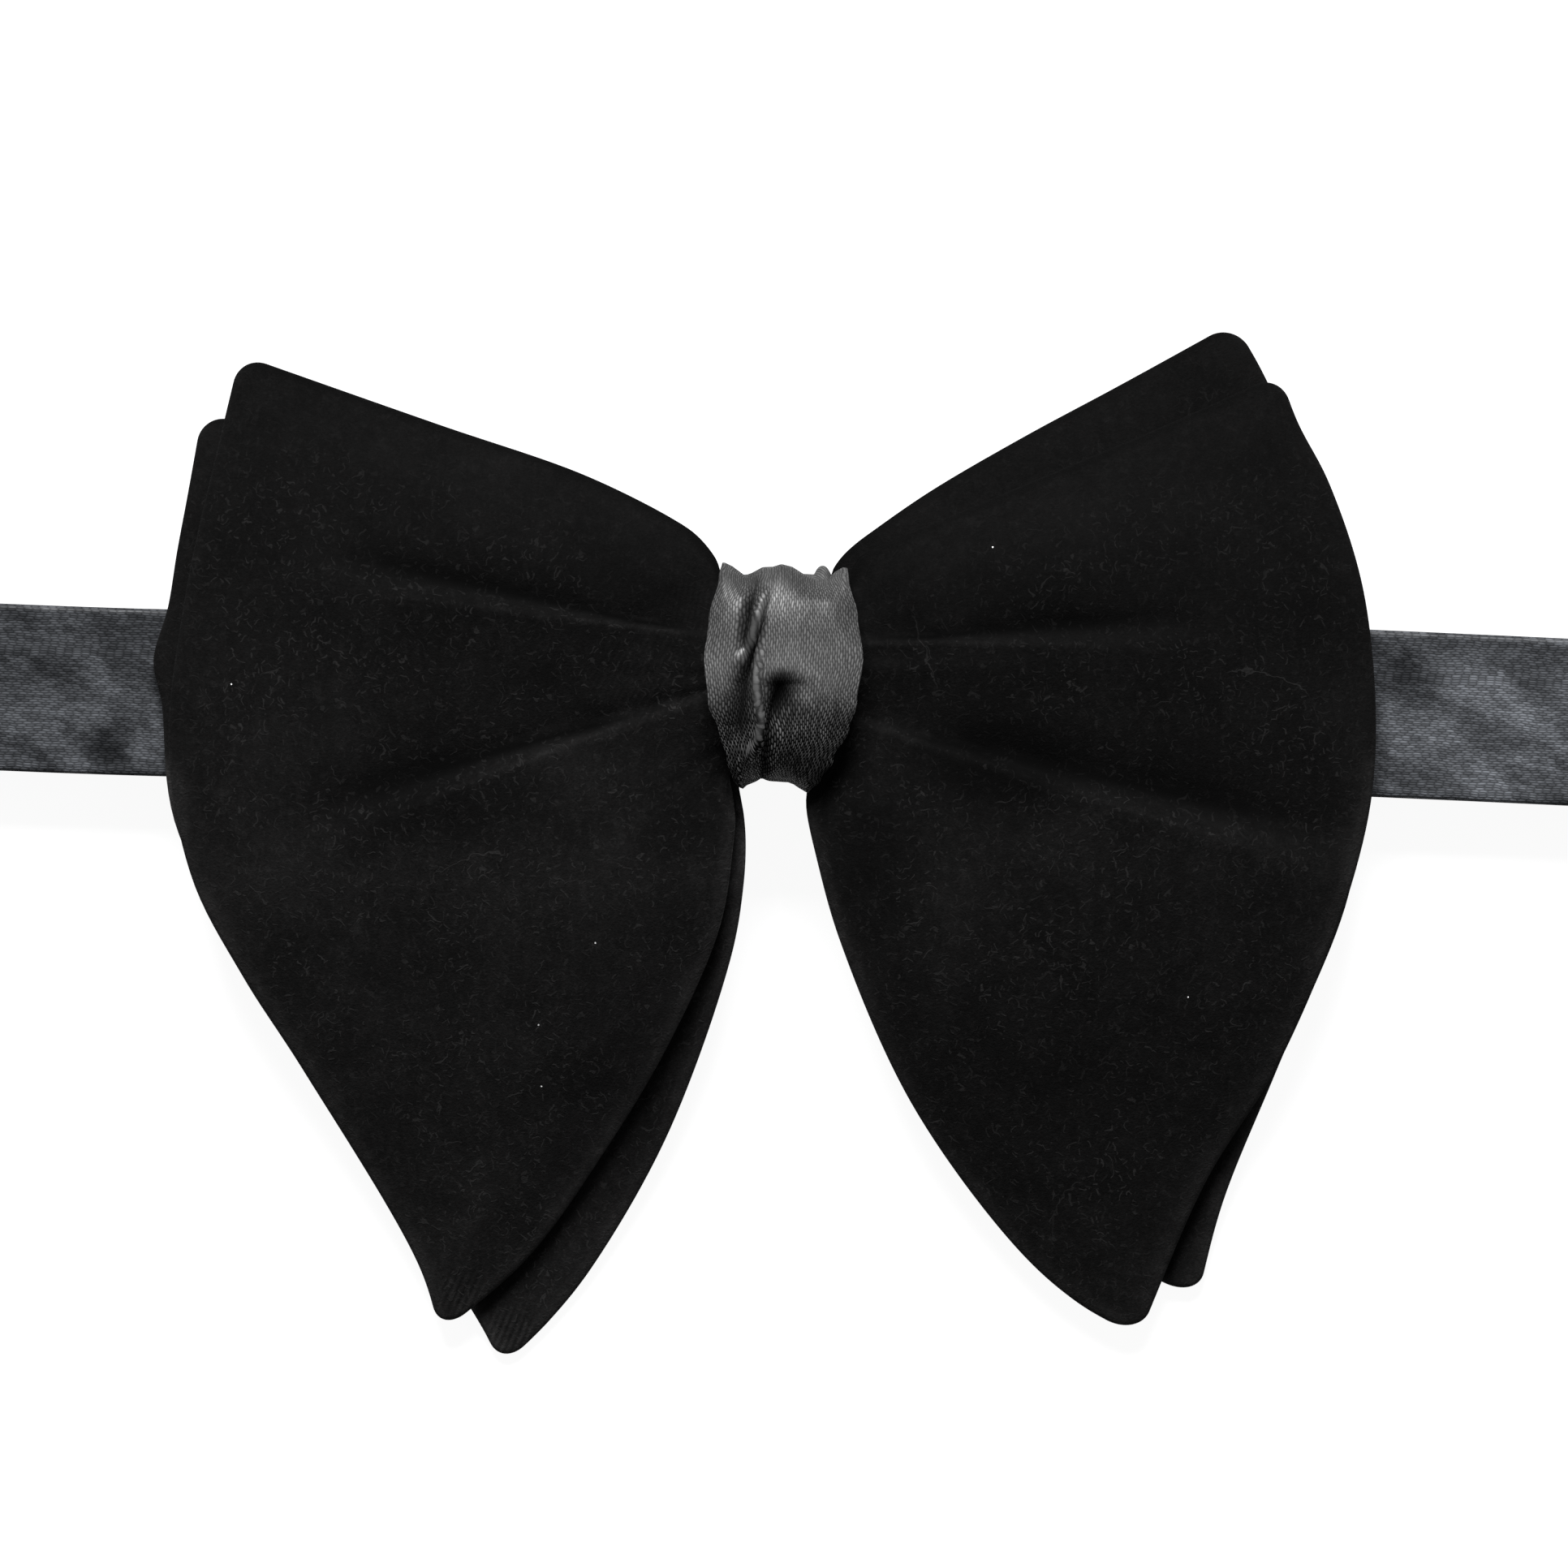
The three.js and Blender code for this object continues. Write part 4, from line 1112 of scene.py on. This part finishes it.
def velvet_material():
    """Black cotton velvet: a deep matt pile of randomly uneven tone, with painted light and shade on its
    folds, edges and puckers, and lint caught in it.
    """
    material, tree, shader = new_material("Black velvet")
    place, flat = position_in_mm(tree)
    cloud = place.noise(0.09, detail=5.0, roughness=0.6)[0]
    pile = place.noise(2.6, detail=3.0, roughness=0.7)[0]
    brushed = place.moved("MULTIPLY", (1.0, 0.4, 1.0)).noise(0.8, detail=4.0)[0]
    tone = cloud * 0.4 + pile * 0.4 + brushed * 0.2
    base = blend_colours(tree, tone.ramp(0.36, 0.64), VELVET_DARK, VELVET_LIGHT)
    shade = folds_and_puckers(tree, place, flat)
    caught = add(tree, "ShaderNodeGroup", {"Position": place}, node_tree=lint_group())
    lies = painted(tree, "Lint") * shade.ramp(0.1, 0.6, 0.3, 1)
    lint = (caught["Fibres"] * lies).math("MAXIMUM", caught["Specks"] * lies * DUST_SHARE)
    colour = blend_colours(tree, lint, base.scaled(shade), LINT_COLOUR)
    for x, y in FLECKS:
        fleck = flat.from_point(x, y).ramp(FLECK_RADIUS * 0.5, FLECK_RADIUS, 1, 0)
        colour = blend_colours(tree, fleck, colour, FLECK_COLOUR)
    height = place.noise(4.5)[0] + pile * 1.5 + caught["Fibres"] * 0.8
    bump = add(tree, "ShaderNodeBump", {"Height": height, "Strength": 0.5, "Distance": 0.12 * MM})[0]
    fill_inputs(tree, shader, {"Base Color": colour, "Normal": bump, "Roughness": 0.92})
    sheen = {"Sheen Weight": 0.03, "Sheen Roughness": 0.4, "Sheen Tint": SHEEN_COLOUR}
    fill_inputs(tree, shader, {"Specular IOR Level": 0.03, **sheen})
    return material


class Ribbon(NamedTuple):
    """A satin cloth: its size in u and v, the threads that run along one of them, and how they look."""

    name: str
    along_is_v: bool
    size: tuple
    thread_pitch: float
    float_length: float
    colour: tuple
    mottle: float
    sway: float
    unevenness: float
    contrast: float
    relief: float
    gloss: float
    has_creases: bool
    tone_spots: tuple


def woven(tree, place, ribbon, weave, taut):
    """The weave's outputs on a ribbon, its threads swaying a little."""
    u, v, _ = add(tree, "ShaderNodeTexCoord")["UV"].parts()
    u, v = u * ribbon.size[0], v * ribbon.size[1]
    across, along = (u, v) if ribbon.along_is_v else (v, u)
    sway = (place.noise(0.3, detail=3.0)[0] - 0.5) * ribbon.sway
    values = {"Across": (across + sway) / ribbon.thread_pitch, "Along": (along + sway) / ribbon.float_length}
    values |= {"Unevenness": ribbon.unevenness, "Taut": taut}
    return add(tree, "ShaderNodeGroup", values, node_tree=weave)


def mottled(place, flat, ribbon):
    """The satin's cloudiness, and the round places where it is made lighter or darker."""
    slanted = place.turned(0.6).moved("MULTIPLY", (0.6, 1.5, 1.0))
    cloud = slanted.noise(0.16, detail=5.0, roughness=0.6)[0]
    cloud = cloud.ramp(0.4, 0.6, 1 - ribbon.mottle, 1 + ribbon.mottle)
    for tone_spot in ribbon.tone_spots:
        away = flat.from_point(tone_spot.x, tone_spot.y)
        cloud = cloud * (away.ramp(tone_spot.radius * PATCH_CORE, tone_spot.radius, tone_spot.tone, 0) + 1)
    return cloud


def creased(tree, light, taut):
    """A satin's painted light, evener where it is taut and with peaked threads where it is loose, times the
    painted light and shade kept with the knot's creases.
    """
    even = (TAUT_LIGHT - light) * (taut * TAUT_EVENNESS)
    loose = 1 - taut.math("DIVIDE", FRONT_TAUT, clamped=True)
    return (light + even + (light - 1) * light * loose) * painted(tree, "Crease painted light")


def satin_material(ribbon, weave):
    """Satin ribbon: glossy thread floats with painted highlights on their crowns in a diagonal stagger,
    painted shade on the ground between them, and cloudy patches.
    """
    material, tree, shader = new_material(ribbon.name)
    place, flat = position_in_mm(tree)
    taut = painted(tree, "Taut") if ribbon.has_creases else 0
    threads = woven(tree, place, ribbon, weave, taut)
    # Painted shade on the ground between the floats and painted highlights on their crowns
    ground, crown = 1 - GROUND_PAINTED_SHADE * ribbon.contrast, 1 + CROWN_PAINTED_HIGHLIGHT * ribbon.contrast
    light = threads["Height"].ramp(0.2, 0.95, ground, crown) * threads["Float tone"].ramp(0, 1, 0.7, 1.3)
    relief = 1.0
    if ribbon.has_creases:
        light = creased(tree, light, taut)
        relief = 1 - taut * TAUT_FLATNESS
    light = (light * mottled(place, flat, ribbon)).math("MAXIMUM", LEAST_LIGHT)
    colour = add(tree, "ShaderNodeVectorMath", {0: ribbon.colour, "Scale": light}, operation="SCALE")[0]
    gloss = light.math("MINIMUM", 1) * ribbon.gloss
    values = {"Height": threads["Height"], "Strength": relief, "Distance": ribbon.relief * MM}
    bump = add(tree, "ShaderNodeBump", values)[0]
    fill_inputs(tree, shader, {"Base Color": colour, "Coat Weight": gloss, "Normal": bump})
    roughness = {"Roughness": SATIN_ROUGHNESS, "Coat Roughness": SATIN_ROUGHNESS}
    fill_inputs(tree, shader, {"Specular IOR Level": 0.0, **roughness})
    return material


def slide_material():
    """Black japanned metal with patchy wear and a fine grain."""
    material, tree, shader = new_material("Black slide metal")
    wear = position_in_mm(tree)[0].noise(0.9, detail=6.0)[0]
    colour = blend_colours(tree, wear.ramp(0.4, 0.7), (0.012, 0.012, 0.013), (0.035, 0.035, 0.037))
    fill_inputs(tree, shader, {"Base Color": colour, "Roughness": wear.ramp(0.3, 0.7, 0.28, 0.5)})
    fill_inputs(tree, shader, {"Metallic": 0.4, "Specular IOR Level": 0.5})
    return material


def floor_material():
    """A pale, even table top, lit from within."""
    material, tree, shader = new_material("Pale table")
    grain = position_in_mm(tree)[0].noise(0.02, detail=3.0)[0]
    colour = blend_colours(tree, grain, (0.1, 0.1, 0.1), (0.12, 0.12, 0.12))
    fill_inputs(tree, shader, {"Base Color": colour, "Roughness": 0.9, "Specular IOR Level": 0.1})
    fill_inputs(tree, shader, {"Emission Color": (1, 1, 1, 1), "Emission Strength": FLOOR_GLOW})
    return material


def make_camera():
    """Straight above the tie, as in the photograph, far enough off that it is drawn almost flat."""
    data = bpy.data.cameras.new("Camera")
    data.lens, data.sensor_width = CAMERA_LENS, CAMERA_SENSOR
    camera = bpy.data.objects.new("Camera", data)
    camera.location = (0, CAMERA_Y, CAMERA_HEIGHT)
    bpy.context.scene.collection.objects.link(camera)
    bpy.context.scene.camera = camera


def make_studio():
    """A large soft light from beyond the top of the bow, not itself seen, and dim pale surroundings."""
    data = bpy.data.lights.new("Key", "AREA")
    data.size, data.energy = KEY_SIZE, KEY_WATTS
    light = bpy.data.objects.new("Key", data)
    light.location = KEY_PLACE
    light.rotation_euler = (-Vector(KEY_PLACE)).to_track_quat("-Z", "Y").to_euler()
    light.visible_camera = False
    bpy.context.scene.collection.objects.link(light)
    world = bpy.data.worlds.new("Pale room")
    world.use_nodes = True
    background = world.node_tree.nodes["Background"]
    background.inputs[0].default_value = (1, 1, 1, 1)
    background.inputs[1].default_value = ROOM_LIGHT
    bpy.context.scene.world = world
    bpy.context.scene.view_settings.view_transform = "Standard"


def make_floor():
    """The table top, far wider than the tie."""
    mesh = bpy.data.meshes.new("Table")
    bm = bmesh.new()
    bmesh.ops.create_grid(bm, x_segments=1, y_segments=1, size=FLOOR_SIZE)
    bmesh.ops.translate(bm, verts=bm.verts[:], vec=(0, 0, FLOOR_BELOW))
    bm.to_mesh(mesh)
    bm.free()
    floor = bpy.data.objects.new("Table", mesh)
    floor.data.materials.append(floor_material())
    bpy.context.scene.collection.objects.link(floor)


make_camera()
make_floor()
make_studio()
velvet = velvet_material()
weave = satin_group()
band_length = 430.0
knot_satin = satin_material(
    Ribbon(
        name="Knot satin",
        along_is_v=True,
        size=(KNOT_STRIP_WIDTH, KNOT_STRIP_LENGTH),
        thread_pitch=0.3,
        float_length=0.85,
        colour=(0.0323, 0.0323, 0.0323),
        mottle=0.1,
        sway=1.0,
        unevenness=0.12,
        contrast=0.9,
        relief=0.09,
        gloss=0.65,
        has_creases=True,
        tone_spots=(),
    ),
    weave,
)
band_satin = satin_material(
    Ribbon(
        name="Band satin",
        along_is_v=False,
        size=(band_length, BAND_WIDTH),
        thread_pitch=0.3,
        float_length=1.0,
        colour=(0.0249, 0.0264, 0.0292),
        mottle=0.34,
        sway=0.5,
        unevenness=0.6,
        contrast=0.42,
        relief=0.05,
        gloss=0.2,
        has_creases=False,
        tone_spots=BAND_TONE_SPOTS,
    ),
    weave,
)

front_bow = new_piece("velvet_front_bow", lambda bm: build_bow(bm, True), velvet)
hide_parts("front_bow")
back_bow = new_piece("velvet_back_bow", lambda bm: build_bow(bm, False), velvet)
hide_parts("back_bow")
knot = new_piece("satin_knot", build_knot, knot_satin)
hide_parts("knot_wrap")
band = new_piece("satin_neck_band", build_band, band_satin)
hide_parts("neck_band")
slide = new_piece("band_slide_sleeve", build_slide, slide_material())
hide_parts("band_slide")
